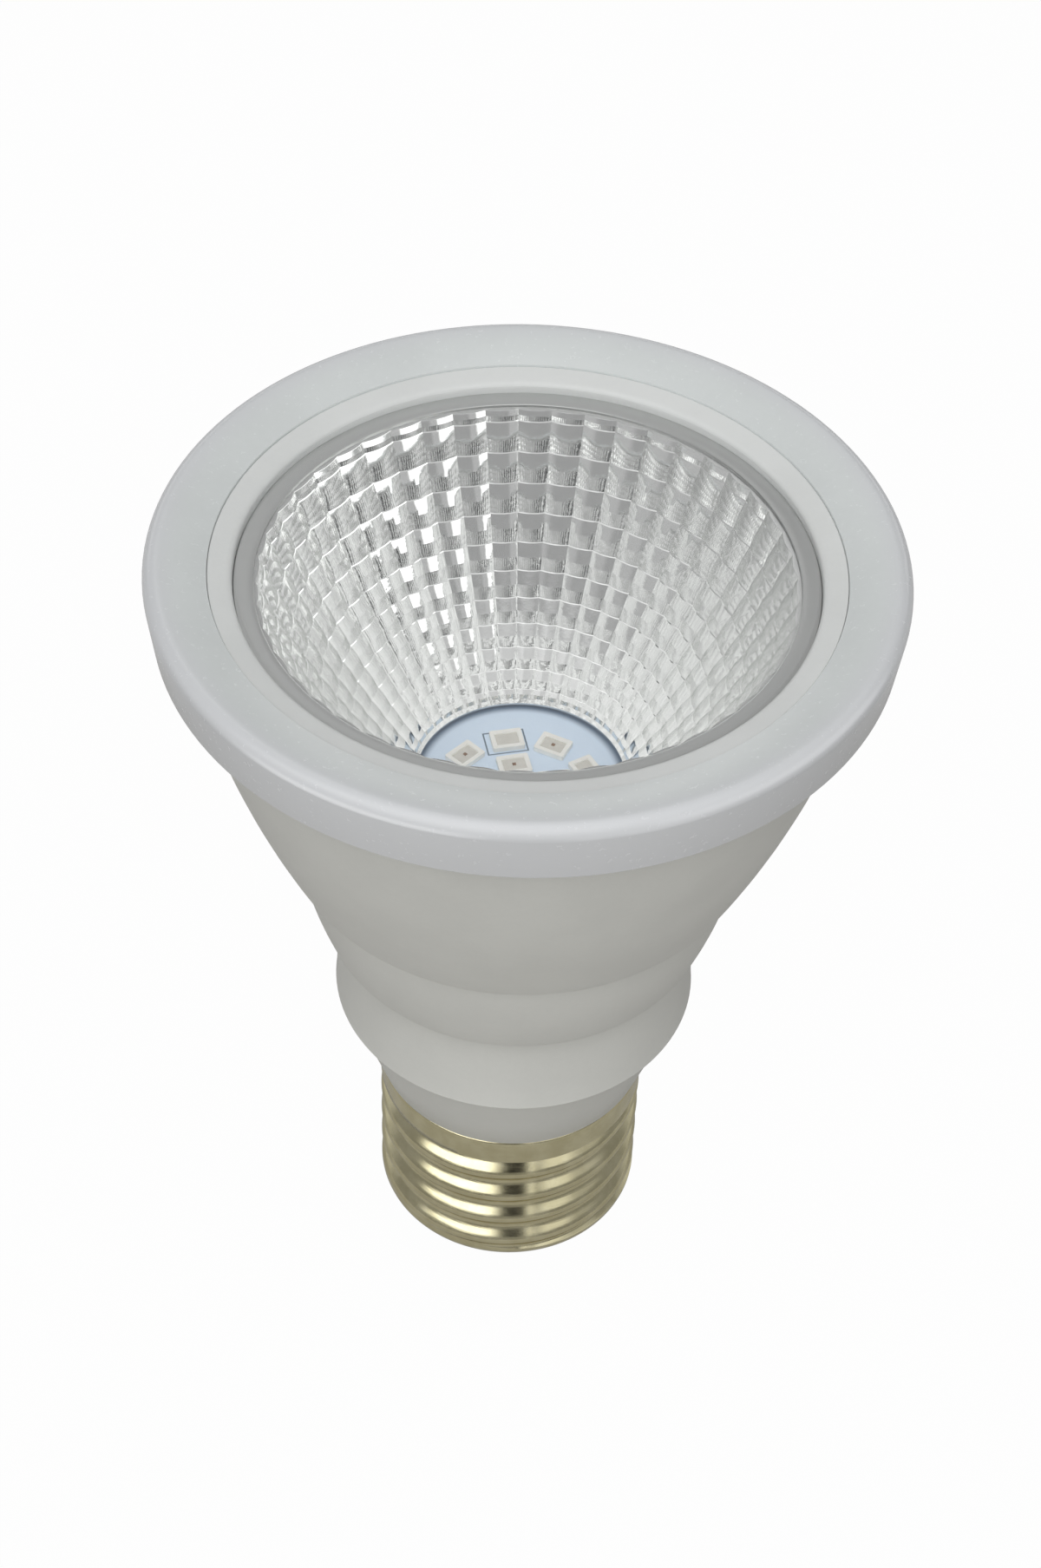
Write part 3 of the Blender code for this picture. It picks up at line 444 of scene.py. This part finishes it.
def draw_ring(profile):
    """Extrude the selected ring through the points of a profile after its first."""
    for (r, z), (r_next, z_next) in zip(profile, profile[1:]):
        lift = (z_next - z) * MM
        bpy.ops.mesh.extrude_region_move(TRANSFORM_OT_translate={"value": (0, 0, lift)})
        grow = r_next / r
        if abs(grow - 1) > 1e-7:
            bpy.ops.transform.resize(value=(grow, grow, 1), center_override=(0, 0, z_next * MM))


def close_skin(threshold=0.002):
    """Merge vertices nearer than a threshold in millimetres, and turn the faces outwards."""
    bpy.ops.mesh.select_all(action="SELECT")
    bpy.ops.mesh.remove_doubles(threshold=threshold * MM)
    bpy.ops.mesh.normals_make_consistent(inside=False)


def turned(profile, steps):
    """A closed profile turned about the axis, ring by ring. A radius of 0 closes on the axis."""
    tiny = 0.0004
    points = [(max(r, tiny), z) for r, z in profile]
    if points[0][0] > tiny or points[-1][0] > tiny:
        points.append(points[0])
    obj = ring(*points[0], steps)
    draw_ring(points)
    close_skin()
    return obj


def settle(obj, name, finish, sharp=30):
    """Put a finished piece's place in its mesh, with its name, finish and body."""
    take(obj)
    bpy.ops.object.transform_apply(location=True, rotation=True, scale=True)
    bpy.ops.object.shade_smooth_by_angle(angle=math.radians(sharp))
    obj.name = obj.data.name = name
    if finish:
        obj.data.materials.clear()
        obj.data.materials.append(finish)
    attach(obj, "root")


def arc(centre, radius, start, end, count):
    """Points along a circle, between two angles in degrees."""
    angles = [math.radians(start + (end - start) * i / (count - 1)) for i in range(count)]
    return [(centre[0] + radius * math.cos(a), centre[1] + radius * math.sin(a)) for a in angles]


def bowed(start, end, bow, count):
    """A shallow curve that swells to the left of its way by bow."""
    along = (end[0] - start[0], end[1] - start[1])
    reach = math.hypot(*along)
    side = (-along[1] / reach, along[0] / reach)
    shares = [i / (count - 1) for i in range(count)]
    return [(start[0] + along[0] * t + side[0] * bow * 4 * t * (1 - t),
             start[1] + along[1] * t + side[1] * bow * 4 * t * (1 - t)) for t in shares]


# The casing.

def make_housing(finish):
    """The stepped housing: bowed body, two bowed rings under rounded edges, and the neck."""
    body_edge = arc((20.04, 59.46), 2.2, -26, -66, 12)
    ring_edge = arc((16.45, 47.9), 2.1, -22, -72, 12)
    body_side = bowed((30.0, BODY_TOP), body_edge[0], 0.86, 28)
    ring_side = bowed((body_edge[-1][0], 57.45), ring_edge[0], 0.3, 12)
    tuck = (ring_edge[-1][0] - 0.02, ring_edge[-1][1] - 0.1)
    waist = [(17.0, 42.5), (17.36, 36.75), (17.4, 36.5), (17.32, 36.32), (16.75, 36.2)]
    neck = [(16.55, 36.05), (14.65, 30.0), (13.35, 25.95), (13.25, 25.8)]
    outside = [(30.0, HOUSING_TOP)] + body_side[:-1] + body_edge + ring_side[:-1] + ring_edge
    outside += [tuck] + waist + neck
    spigot = [(11.45, 25.8), (11.45, 16.5), (10.15, 16.5), (10.15, 27.4)]
    inside = [(12.2, 27.4), (13.1, 30.4), (14.9, 35.8), (15.75, 37.4), (15.4, 42.5),
              (15.5, 45.2), (16.6, 46.9), (18.2, 52.0), (18.4, 56.3), (17.4, 58.25),
              (17.4, 59.6), (20.1, 59.6), (21.6, 61.5), (25.5, 72.6), (27.9, 82.0),
              (28.1, 82.2), (26.8, 83.8), (26.8, 85.3), (28.4, 85.3), (28.4, HOUSING_TOP)]
    housing = turned(outside + spigot + inside, 128)
    settle(housing, "housing_skin", finish, 24)
    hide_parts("housing")


def make_bezel(finish):
    """The rounded rim: a shallow crowned land falling inwards to the trim ring's seam."""
    corner = arc((31.7, 89.3), 1.25, 90, 0, 14)
    land = bowed((27.62, 89.43), (31.7, BEZEL_TOP), 0.1, 12)
    seam = [(27.5, 89.33), (27.53, 89.40)]
    foot = [(32.43, 84.82), (32.36, 84.72), (32.25, 84.7)]
    under = [(30.3, 84.7), (30.3, 86.9), (26.2, 86.9), (26.2, 87.8), (27.5, 87.8)]
    bezel = turned(seam + land[:-1] + corner + foot + under, 144)
    settle(bezel, "bezel_rim", finish, 24)
    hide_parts("front_bezel")


def make_trim_ring(finish):
    """The trim ring, a hair below the bezel, with a rounded inner edge."""
    profile = [(25.35, 88.3), (25.37, 88.5), (25.47, 88.68), (25.65, 88.81), (25.9, 88.90),
               (27.40, 89.22), (27.45, 89.20), (27.46, 89.12), (27.4, 88.2), (27.2, 88.1),
               (25.9, 88.1), (25.9, 86.9), (25.35, 86.9)]
    trim = turned(profile, 144)
    settle(trim, "trim_ring_skin", finish, 30)
    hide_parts("trim_ring")


def make_cover(finish):
    """The clear cover, with a softened edge, on the reflector's lip."""
    profile = [(0.0, 88.85), (25.0, 88.85), (25.04, 88.81), (25.04, 88.29), (25.0, 88.25),
               (0.0, 88.25)]
    cover = turned(profile, 96)
    settle(cover, "clear_cover_disc", finish, 40)
    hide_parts("front_cover")


# The screw base.

def thread_dip(angle, z):
    """How far the rolled thread sinks below its crest, at a bearing and a height."""
    turn = math.tau * (z - FIRST_CREST) / THREAD_PITCH - (angle + math.pi / 2)
    foot = SHELL_FOOT + FOOT_BEND
    fade = min(max((COLLAR_FOOT - z) / THREAD_FADE, 0.0), max((z - foot) / THREAD_FADE, 0.0), 1.0)
    return THREAD_DEPTH * fade * (1 - math.cos(turn)) / 2


def make_shell(finish):
    """The rolled shell: a plain collar with a curled edge, the thread, and a turned-in foot."""
    foot = SHELL_FOOT + FOOT_BEND
    profile = [(12.9, SHELL_TOP - 0.04), (13.02, SHELL_TOP), (SHELL_RADIUS, COLLAR_EDGE)]
    profile += [(SHELL_RADIUS, COLLAR_EDGE - (COLLAR_EDGE - COLLAR_FOOT) * i / 4)
                for i in range(1, 5)]
    profile += [(SHELL_RADIUS, COLLAR_FOOT + (foot - COLLAR_FOOT) * i / THREAD_ROWS)
                for i in range(1, THREAD_ROWS + 1)]
    profile += arc((SHELL_RADIUS - FOOT_BEND, foot), FOOT_BEND, -12, -90, 8)
    profile += [(10.9, SHELL_FOOT), (10.5, SHELL_FOOT)]
    shell = ring(*profile[0], 144)
    draw_ring(profile)
    close_skin()
    alone()
    for vertex in shell.data.vertices:
        x, y, _ = vertex.co
        z = (vertex.co.z + shell.location.z) / MM
        radius = math.hypot(x, y)
        keep = 1 - thread_dip(math.atan2(y, x), z) * MM / radius
        vertex.co.x, vertex.co.y = x * keep, y * keep
    take(shell)
    wall = shell.modifiers.new("wall", "SOLIDIFY")
    wall.thickness = SHELL_WALL * MM
    wall.offset = -1.0
    bpy.ops.object.modifier_apply(modifier=wall.name)
    settle(shell, "rolled_shell", finish, 50)
    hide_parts("screw_shell")


def make_insulator(finish):
    """The black glass plug with its shallow cone and a moulded step."""
    profile = [(1.5, 8.55), (10.9, 8.55), (11.1, 8.45), (11.1, 7.15), (10.2, 7.15),
               (10.2, 6.2), (11.0, 6.2), (11.1, 6.1), (11.1, 5.85), (10.9, 5.7), (8.6, 4.4),
               (8.2, 4.05), (6.1, 2.45), (5.7, 2.15), (5.5, 2.1), (1.5, 2.1)]
    plug = turned(profile, 72)
    settle(plug, "glass_insulator", finish, 30)
    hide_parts("base_insulator")


def make_contact(finish):
    """The pressed contact: a domed disc with a shallow dimple, on its rivet."""
    dome = [(3.0 + 1.8 * math.sin(math.radians(a)), 1.2 * (1 - math.cos(math.radians(a))))
            for a in range(90, -1, -9)]
    profile = [(0.0, 9.4), (1.05, 9.4), (1.2, 9.25), (1.2, 1.8), (4.7, 1.8), (4.8, 1.7)] + dome
    contact = turned(profile + [(1.6, 0.0), (1.3, 0.12), (0.0, 0.16)], 64)
    settle(contact, "contact_disc", finish, 30)
    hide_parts("centre_contact")


# The reflector.

def bowl_point(share, lift=0.0):
    """A point of the bowl's bowed side from its mouth (0) to its foot (1), lifted off it."""
    along = (BOWL_FOOT[0] - MOUTH[0], BOWL_FOOT[1] - MOUTH[1])
    reach = math.hypot(*along)
    outward = (-along[1] / reach, along[0] / reach)
    off = 4 * share * (1 - share) - lift
    return (MOUTH[0] + along[0] * share + outward[0] * off,
            MOUTH[1] + along[1] * share + outward[1] * off)


def bowl_profile():
    """The rings of every facet row, from the mouth down: its ledge, its ridge and its foot."""
    points = [bowl_point(FACET_ROWS[0])]
    for high, low in zip(FACET_ROWS, FACET_ROWS[1:]):
        tall = low - high
        points += [bowl_point(high + 0.04 * tall, 0.30 * tall),
                   bowl_point(high + 0.54 * tall, 1.30 * tall), bowl_point(low)]
    return points


def choose(obj, test):
    """In edit mode, select just the vertices that pass a test on radius, bearing and height."""
    bpy.ops.mesh.select_mode(type="VERT")
    shape = bmesh.from_edit_mesh(obj.data)
    for vertex in shape.verts:
        x, y, z = obj.matrix_world @ vertex.co
        vertex.select_set(bool(test(math.hypot(x, y) / MM, math.atan2(y, x), z / MM)))
    shape.select_flush_mode()
    bmesh.update_edit_mesh(obj.data)


def crown_columns(bowl, bulge, above=0.0, below=math.inf):
    """Push every facet column's middle towards the axis, for the rings between two heights."""
    step = math.tau / (EIGHTHS * FACET_COLUMNS)
    for eighth in range(1, EIGHTHS // 2 + 1):
        pair = (eighth, EIGHTHS - eighth)
        choose(bowl, lambda r, bearing, z:
               above < z < below and round(bearing / step) % EIGHTHS in pair)
        push = 1 - bulge * pair[0] * pair[1] / 16
        bpy.ops.transform.resize(value=(push, push, 1), center_override=(0, 0, 0))


def make_reflector(finish):
    """The plated bowl: columns of crowned, ridged facets, a rolled lip, and its back."""
    profile = bowl_profile()
    top = profile[0][1]
    bowl = ring(*profile[0], EIGHTHS * FACET_COLUMNS)
    draw_ring(profile)
    crown_columns(bowl, FACET_BULGE)
    # The foot's ring goes back to a plain circle, to meet the back's.
    crown_columns(bowl, -FACET_BULGE, below=BOWL_FOOT[1] + 0.05)
    choose(bowl, lambda r, bearing, z: z > top - 0.001)
    bpy.ops.mesh.select_mode(type="EDGE")
    draw_ring([profile[0], (ROLL_FOOT_RADIUS, top + 0.05)])
    # So does the ring that the lip's roll starts from.
    crown_columns(bowl, -FACET_BULGE, top + 0.04)
    choose(bowl, lambda r, bearing, z: z > top + 0.04)
    bpy.ops.mesh.select_mode(type="EDGE")
    roll = [(ROLL_FOOT_RADIUS, top + 0.05)]
    for angle in (75, 60, 45, 30, 15, 0):
        lean = math.radians(angle)
        roll.append((MOUTH[0] + 0.72 - ROLL_WIDTH * math.sin(lean),
                     LIP_Z - ROLL_HEIGHT + ROLL_HEIGHT * math.cos(lean)))
    draw_ring(roll)
    draw_ring([roll[-1], (24.5, LIP_Z), (LIP_RADIUS - 0.05, LIP_Z), (LIP_RADIUS, LIP_Z - 0.06),
               (LIP_RADIUS, HOUSING_TOP), (27.9, HOUSING_TOP), (28.1, 86.4), (28.1, 85.6),
               (24.9, 85.6), (24.0, 83.0), (19.4, 73.5), (13.6, 65.0), (11.1, 64.2),
               (11.1, 63.2), (9.62, 63.2), (9.62, 63.42), (9.9, 63.79)])
    close_skin(0.02)
    bpy.ops.object.mode_set(mode="OBJECT")
    bowl.rotation_euler.z = FACET_TURN
    settle(bowl, "facet_reflector", finish, 9)
    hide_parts("reflector")


# The light engine.

def punch(board, spots, radius, low, high):
    """Cut round holes through a piece, each with a cylinder that is taken away again."""
    for x, y in spots:
        alone()
        bpy.ops.mesh.primitive_cylinder_add(
            vertices=24, radius=radius * MM, depth=(high - low) * MM,
            location=(x * MM, y * MM, (high + low) / 2 * MM))
        drill = bpy.context.object
        take(board)
        hole = board.modifiers.new("hole", "BOOLEAN")
        hole.solver = "EXACT"
        hole.object = drill
        bpy.ops.object.modifier_apply(modifier=hole.name)
        bpy.data.objects.remove(drill, do_unlink=True)


def make_lamp_board(finish):
    """The round metal-core board, with softened edges and its screw and lead holes."""
    edge = BOARD_RADIUS - 0.1
    profile = [(0.0, BOARD_TOP), (edge, BOARD_TOP), (BOARD_RADIUS, BOARD_TOP - 0.1),
               (BOARD_RADIUS, BOARD_FOOT + 0.1), (edge, BOARD_FOOT), (0.0, BOARD_FOOT)]
    board = turned(profile, 96)
    punch(board, [(14.2, 0), (-14.2, 0)], 1.2, 61, 64)
    punch(board, [(0, 12.8), (0, -12.8)], 0.9, 61, 64)
    settle(board, "lamp_board_disc", finish, 30)
    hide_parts("led_board")


def make_lamp(number, radius, bearing, turn, tray, gel, die):
    """One lamp: a cream tray with a sunk window, gel in it and, in some, a chip in the gel."""
    alone()
    bpy.ops.mesh.primitive_cube_add(size=MM, location=(0, 0, 0))
    lamp = bpy.context.object
    for finish in (tray, gel, die):
        lamp.data.materials.append(finish)
    bpy.ops.object.mode_set(mode="EDIT")
    bpy.ops.transform.resize(value=TRAY)
    bpy.ops.mesh.select_mode(type="FACE")
    pick_top(lamp)
    bpy.ops.mesh.inset(thickness=TRAY_RIM * MM)
    bpy.ops.mesh.extrude_region_move(
        TRANSFORM_OT_translate={"value": (0, 0, -WINDOW_DEPTH * MM)})
    bpy.ops.transform.resize(value=(0.95, 0.92, 1))
    lamp.active_material_index = 1
    bpy.ops.object.material_slot_assign()
    if number in LAMPS_WITH_DIE:
        bpy.ops.mesh.inset(thickness=0.48 * MM)
        bpy.ops.transform.resize(value=(0.30, 0.75, 1))
        bpy.ops.mesh.extrude_region_move(TRANSFORM_OT_translate={"value": (0, 0, 0.04 * MM)})
        lamp.active_material_index = 2
        bpy.ops.object.material_slot_assign()
    bpy.ops.mesh.select_mode(type="EDGE")
    shape = bmesh.from_edit_mesh(lamp.data)
    for edge in shape.edges:
        rise = abs(edge.verts[0].co.z - edge.verts[1].co.z)
        edge.select_set(rise > 0.8 * TRAY[2] * MM)
    bmesh.update_edit_mesh(lamp.data)
    bpy.ops.mesh.bevel(offset=0.16 * MM, segments=2)
    bpy.ops.object.mode_set(mode="OBJECT")
    angle = math.radians(bearing)
    lamp.rotation_euler.z = math.radians(turn)
    lamp.location = (radius * math.cos(angle) * MM, radius * math.sin(angle) * MM,
                     (BOARD_TOP + 0.27) * MM)
    settle(lamp, f"lamp_{number:02d}", None, 30)
    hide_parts(f"led_{number:02d}")


def pick_top(obj):
    """In edit mode, select the faces that look straight up."""
    shape = bmesh.from_edit_mesh(obj.data)
    for face in shape.faces:
        face.select_set(face.normal.z > 0.9)
    bmesh.update_edit_mesh(obj.data)


# The studio.

def softbox(name, place, target, size, radiance):
    """A rectangular lamp of a given brightness, seen by matt surfaces alone."""
    data = bpy.data.lights.new(name, "AREA")
    data.shape = "RECTANGLE"
    data.size, data.size_y = size
    data.energy = radiance * math.pi * size[0] * size[1]
    lamp = bpy.data.objects.new(name, data)
    bpy.context.scene.collection.objects.link(lamp)
    lamp.location = place
    lamp.visible_camera = lamp.visible_glossy = False
    direction = Vector(target) - lamp.location
    lamp.rotation_euler = direction.to_track_quat("-Z", "Y").to_euler()


def make_camera():
    """The photograph's viewing angle, from measured points of the bulb."""
    data = bpy.data.cameras.new("photo_camera")
    data.sensor_fit = "VERTICAL"
    data.sensor_height = SENSOR_HEIGHT
    data.lens = PHOTO_FOCUS * SENSOR_HEIGHT / PHOTO_HEIGHT
    data.clip_start = 0.01
    camera = bpy.data.objects.new("photo_camera", data)
    bpy.context.scene.collection.objects.link(camera)
    ahead = Vector((0.0, math.cos(CAMERA_PITCH), -math.sin(CAMERA_PITCH)))
    above = Vector((0.0, math.sin(CAMERA_PITCH), math.cos(CAMERA_PITCH)))
    side = Vector((1.0, 0.0, 0.0))
    right = math.cos(CAMERA_ROLL) * side + math.sin(CAMERA_ROLL) * above
    up = math.cos(CAMERA_ROLL) * above - math.sin(CAMERA_ROLL) * side
    turn = Matrix((right, up, -ahead)).transposed()
    camera.matrix_world = Matrix.Translation(CAMERA_PLACE) @ turn.to_4x4()
    bpy.context.scene.camera = camera


def make_floor():
    """A pale floor: white to the camera, but in reflections its glow is painted dim near the bulb
    and behind it, a painted shadow of the bulb.
    """
    alone()
    bpy.ops.mesh.primitive_plane_add(size=6.0, location=(0, 0, -0.0001))
    floor = bpy.context.object
    floor.name = "studio_floor"
    finish = new_finish("studio_floor")
    matte = finish.node("ShaderNodeBsdfDiffuse", {}, {"Color": (0.46, 0.45, 0.43)})
    white = finish.node("ShaderNodeEmission", {}, {"Color": WHITE, "Strength": 1.0})
    place = finish.place()
    # Painted shadow: in reflections the floor's glow is dimmed near the bulb's axis and behind the
    # bulb.
    far = finish.from_axis(place).rise(90.0, 130.0) * finish.parts(place)[1].fall(70.0, 120.0)
    direct = finish.ray_is("Is Camera Ray").most(finish.ray_is("Is Transmission Ray"))
    seen = direct * 0.98 + finish.ray_is("Is Glossy Ray") * (0.12 + 0.86 * far)
    skin = finish.node("ShaderNodeMixShader", {}, {0: seen, 1: matte, 2: white})
    finish.node("ShaderNodeOutputMaterial", {}, {"Surface": skin})
    floor.data.materials.append(finish.owner)


def make_world():
    """White behind the bulb, an even light for matt surfaces, and the studio that gloss shows.

    The bearing is 0 in front of the bulb, and grows to the right. Heights go from -1 to 1.
    """
    world = bpy.data.worlds.new("studio")
    bpy.context.scene.world = world
    finish = Finish(world)
    way = finish.node("ShaderNodeTexCoord", {}, {}, "Generated")
    x, y, z = finish.parts(way)
    bearing = x.maths("ARCTAN2", x, -1 * y)
    side = bearing.size()
    studio = 0.34 + 0.34 * z.rise(0.44, 0.56) + 0.32 * z.rise(0.62, 0.80)
    studio = studio * (1 - 0.45 * side.rise(1.1, 2.3))
    studio = studio * (1 - 0.92 * panel(bearing, z, (-2.56, -1.58), (0.48, 0.94), 0.04))
    studio = studio + 0.14 * panel(bearing, z, (-2.2, -0.55), (-0.3, 0.45), 0.12)
    studio = studio + 0.16 * panel(bearing, z, (0.42, 2.0), (-0.3, 0.50))
    studio = studio + 0.20 * panel(bearing, z, (-1.6, -0.15), (0.54, 1.2))
    studio = studio.most(1.8 * panel(bearing, z, (0.64, 1.95), (-0.3, 0.56)))
    studio = studio.most(1.5 * (side.rise(2.1, 2.5) * z.rise(0.06, 0.14) * z.fall(0.28, 0.40)))
    studio = studio.most(0.8 * panel(bearing, z, (-3.3, -2.66), (0.60, 0.78), 0.04))
    studio = studio.most(1.4 * z.rise(0.95, 0.98))
    even = 0.17 + 0.19 * (-1 * y).rise(-0.3, 0.9) + 0.53 * z.rise(0.1, 0.95)
    even = even - 0.15 * x.rise(0.2, 0.9) - 0.08 * y.rise(0.2, 0.8)
    camera = finish.ray_is("Is Camera Ray")
    gloss = finish.ray_is("Is Glossy Ray")
    lit = studio * gloss + even * (1 - gloss)
    strength = lit * (1 - camera) + camera
    ground = finish.node("ShaderNodeBackground", {}, {"Color": WHITE, "Strength": strength})
    finish.node("ShaderNodeOutputWorld", {}, {"Surface": ground})


def make_cards():
    """Bright and dark cards round the bulb, seen only in reflections: mostly those of its base."""
    cards = ring(CARD_RADIUS, CARD_FOOT, 96)
    draw_ring([(CARD_RADIUS, CARD_FOOT), (CARD_RADIUS, CARD_TOP)])
    alone()
    cards.name = "base_cards"
    finish = new_finish("base_cards")
    x, y, z = finish.parts(finish.place())
    bearing = x.maths("ARCTAN2", x, -1 * y)
    slit = band(bearing, 0.24, 0.31, 0.02)
    level = 2.3 * band(bearing, -1.15, -0.20, 0.12) - 0.30 * band(bearing, -0.12, 0.20)
    level = level + 0.9 * slit + 0.80 * band(bearing, 0.40, 0.80, 0.08)
    level = level + 0.30 * band(bearing, 0.80, 1.25, 0.10)
    level = 0.30 + level * z.rise(34, 46) + 0.30 * slit
    level = level + 0.40 * bearing.size().rise(1.6, 2.0)
    light = finish.node("ShaderNodeEmission", {}, {"Color": WHITE, "Strength": level})
    finish.node("ShaderNodeOutputMaterial", {}, {"Surface": light})
    cards.data.materials.append(finish.owner)
    cards.visible_camera = cards.visible_diffuse = cards.visible_shadow = False
    cards.visible_transmission = False


def make_studio():
    """The light and all that stands round the bulb."""
    make_world()
    make_floor()
    make_cards()
    softbox("front_softbox", (-0.03, -0.30, 0.38), (0.0, 0.0, 0.06), (0.40, 0.40), 1.95)


def dress_hidden_parts():
    """Give the parts inside the housing their own finishes."""
    skins = {"heat_spreader": plain_skin("pressed_aluminium", (0.60, 0.61, 0.62),
                                         (0.74, 0.75, 0.76), 0.32, 1.5, 0.01, 1.0)}
    # Each row: its node, its finish, the two tones, roughness, and the grain's scale and depth.
    for node, *skin in (
            ("driver_board", "green_mask", (0.02, 0.12, 0.05), (0.05, 0.22, 0.09),
             0.38, 2.5, 0.02),
            ("transformer", "winding_tape", (0.60, 0.44, 0.07), (0.76, 0.58, 0.12),
             0.42, 1.2, 0.03),
            ("main_capacitor", "can_sleeve_dark", (0.035, 0.04, 0.06), (0.06, 0.07, 0.10),
             0.30, 1.0, 0.02),
            ("drum_choke", "sintered_ferrite", (0.045, 0.045, 0.05), (0.09, 0.09, 0.10),
             0.55, 4.0, 0.03),
            ("film_capacitor", "dipped_red", (0.36, 0.05, 0.03), (0.50, 0.09, 0.05),
             0.25, 1.0, 0.04),
            ("bridge_rectifier", "moulded_epoxy", (0.02, 0.02, 0.02), (0.045, 0.045, 0.045),
             0.5, 5.0, 0.02),
            ("fusible_resistor", "resistor_lacquer", (0.55, 0.45, 0.25), (0.68, 0.57, 0.34),
             0.35, 2.0, 0.02),
            ("centre_lead", "red_silicone", (0.42, 0.03, 0.02), (0.58, 0.05, 0.04),
             0.42, 2.0, 0.02),
            ("shell_lead", "black_silicone", (0.02, 0.02, 0.02), (0.05, 0.05, 0.05),
             0.42, 2.0, 0.02)):
        skins[node] = plain_skin(*skin)
    skins["board_screw_a"] = turned_steel("screw_steel", (0.58, 0.58, 0.57), 0.25)
    like = {"output_capacitor": "main_capacitor", "driver_chip": "bridge_rectifier",
            "lamp_lead_red": "centre_lead", "lamp_lead_black": "shell_lead",
            "board_screw_b": "board_screw_a"}
    for node, model in like.items():
        skins[node] = skins[model]
    for node, skin in skins.items():
        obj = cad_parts[node]
        obj.data.materials.clear()
        obj.data.materials.append(skin)


def main():
    """Build the studio and every piece in sight, and dress the rest."""
    make_camera()
    make_studio()
    make_housing(white_plastic("housing_white", (0.70, 0.705, 0.67), 0.012))
    # The bezel's rim colour is painted shade on its outer corner and side.
    make_bezel(white_plastic("bezel_white", (0.66, 0.69, 0.685), 0.004, gloss=0.8,
                             rim=(0.63, 0.64, 0.66)))
    make_trim_ring(white_plastic("trim_white", (0.70, 0.715, 0.705), 0.010))
    make_cover(clear_cover())
    make_shell(warm_nickel())
    make_insulator(black_glass())
    make_contact(turned_steel("contact_steel_skin", (0.52, 0.51, 0.49), 0.28))
    make_reflector(facet_chrome())
    make_lamp_board(lamp_board_mask())
    tray, gel, die = lamp_cream(), lamp_gel(), lamp_die()
    for number, (radius, bearing, turn) in enumerate(LAMP_PLACES, start=1):
        make_lamp(number, radius, bearing, turn, tray, gel, die)
    dress_hidden_parts()
    bpy.context.scene.view_settings.view_transform = "Standard"


main()
alone()
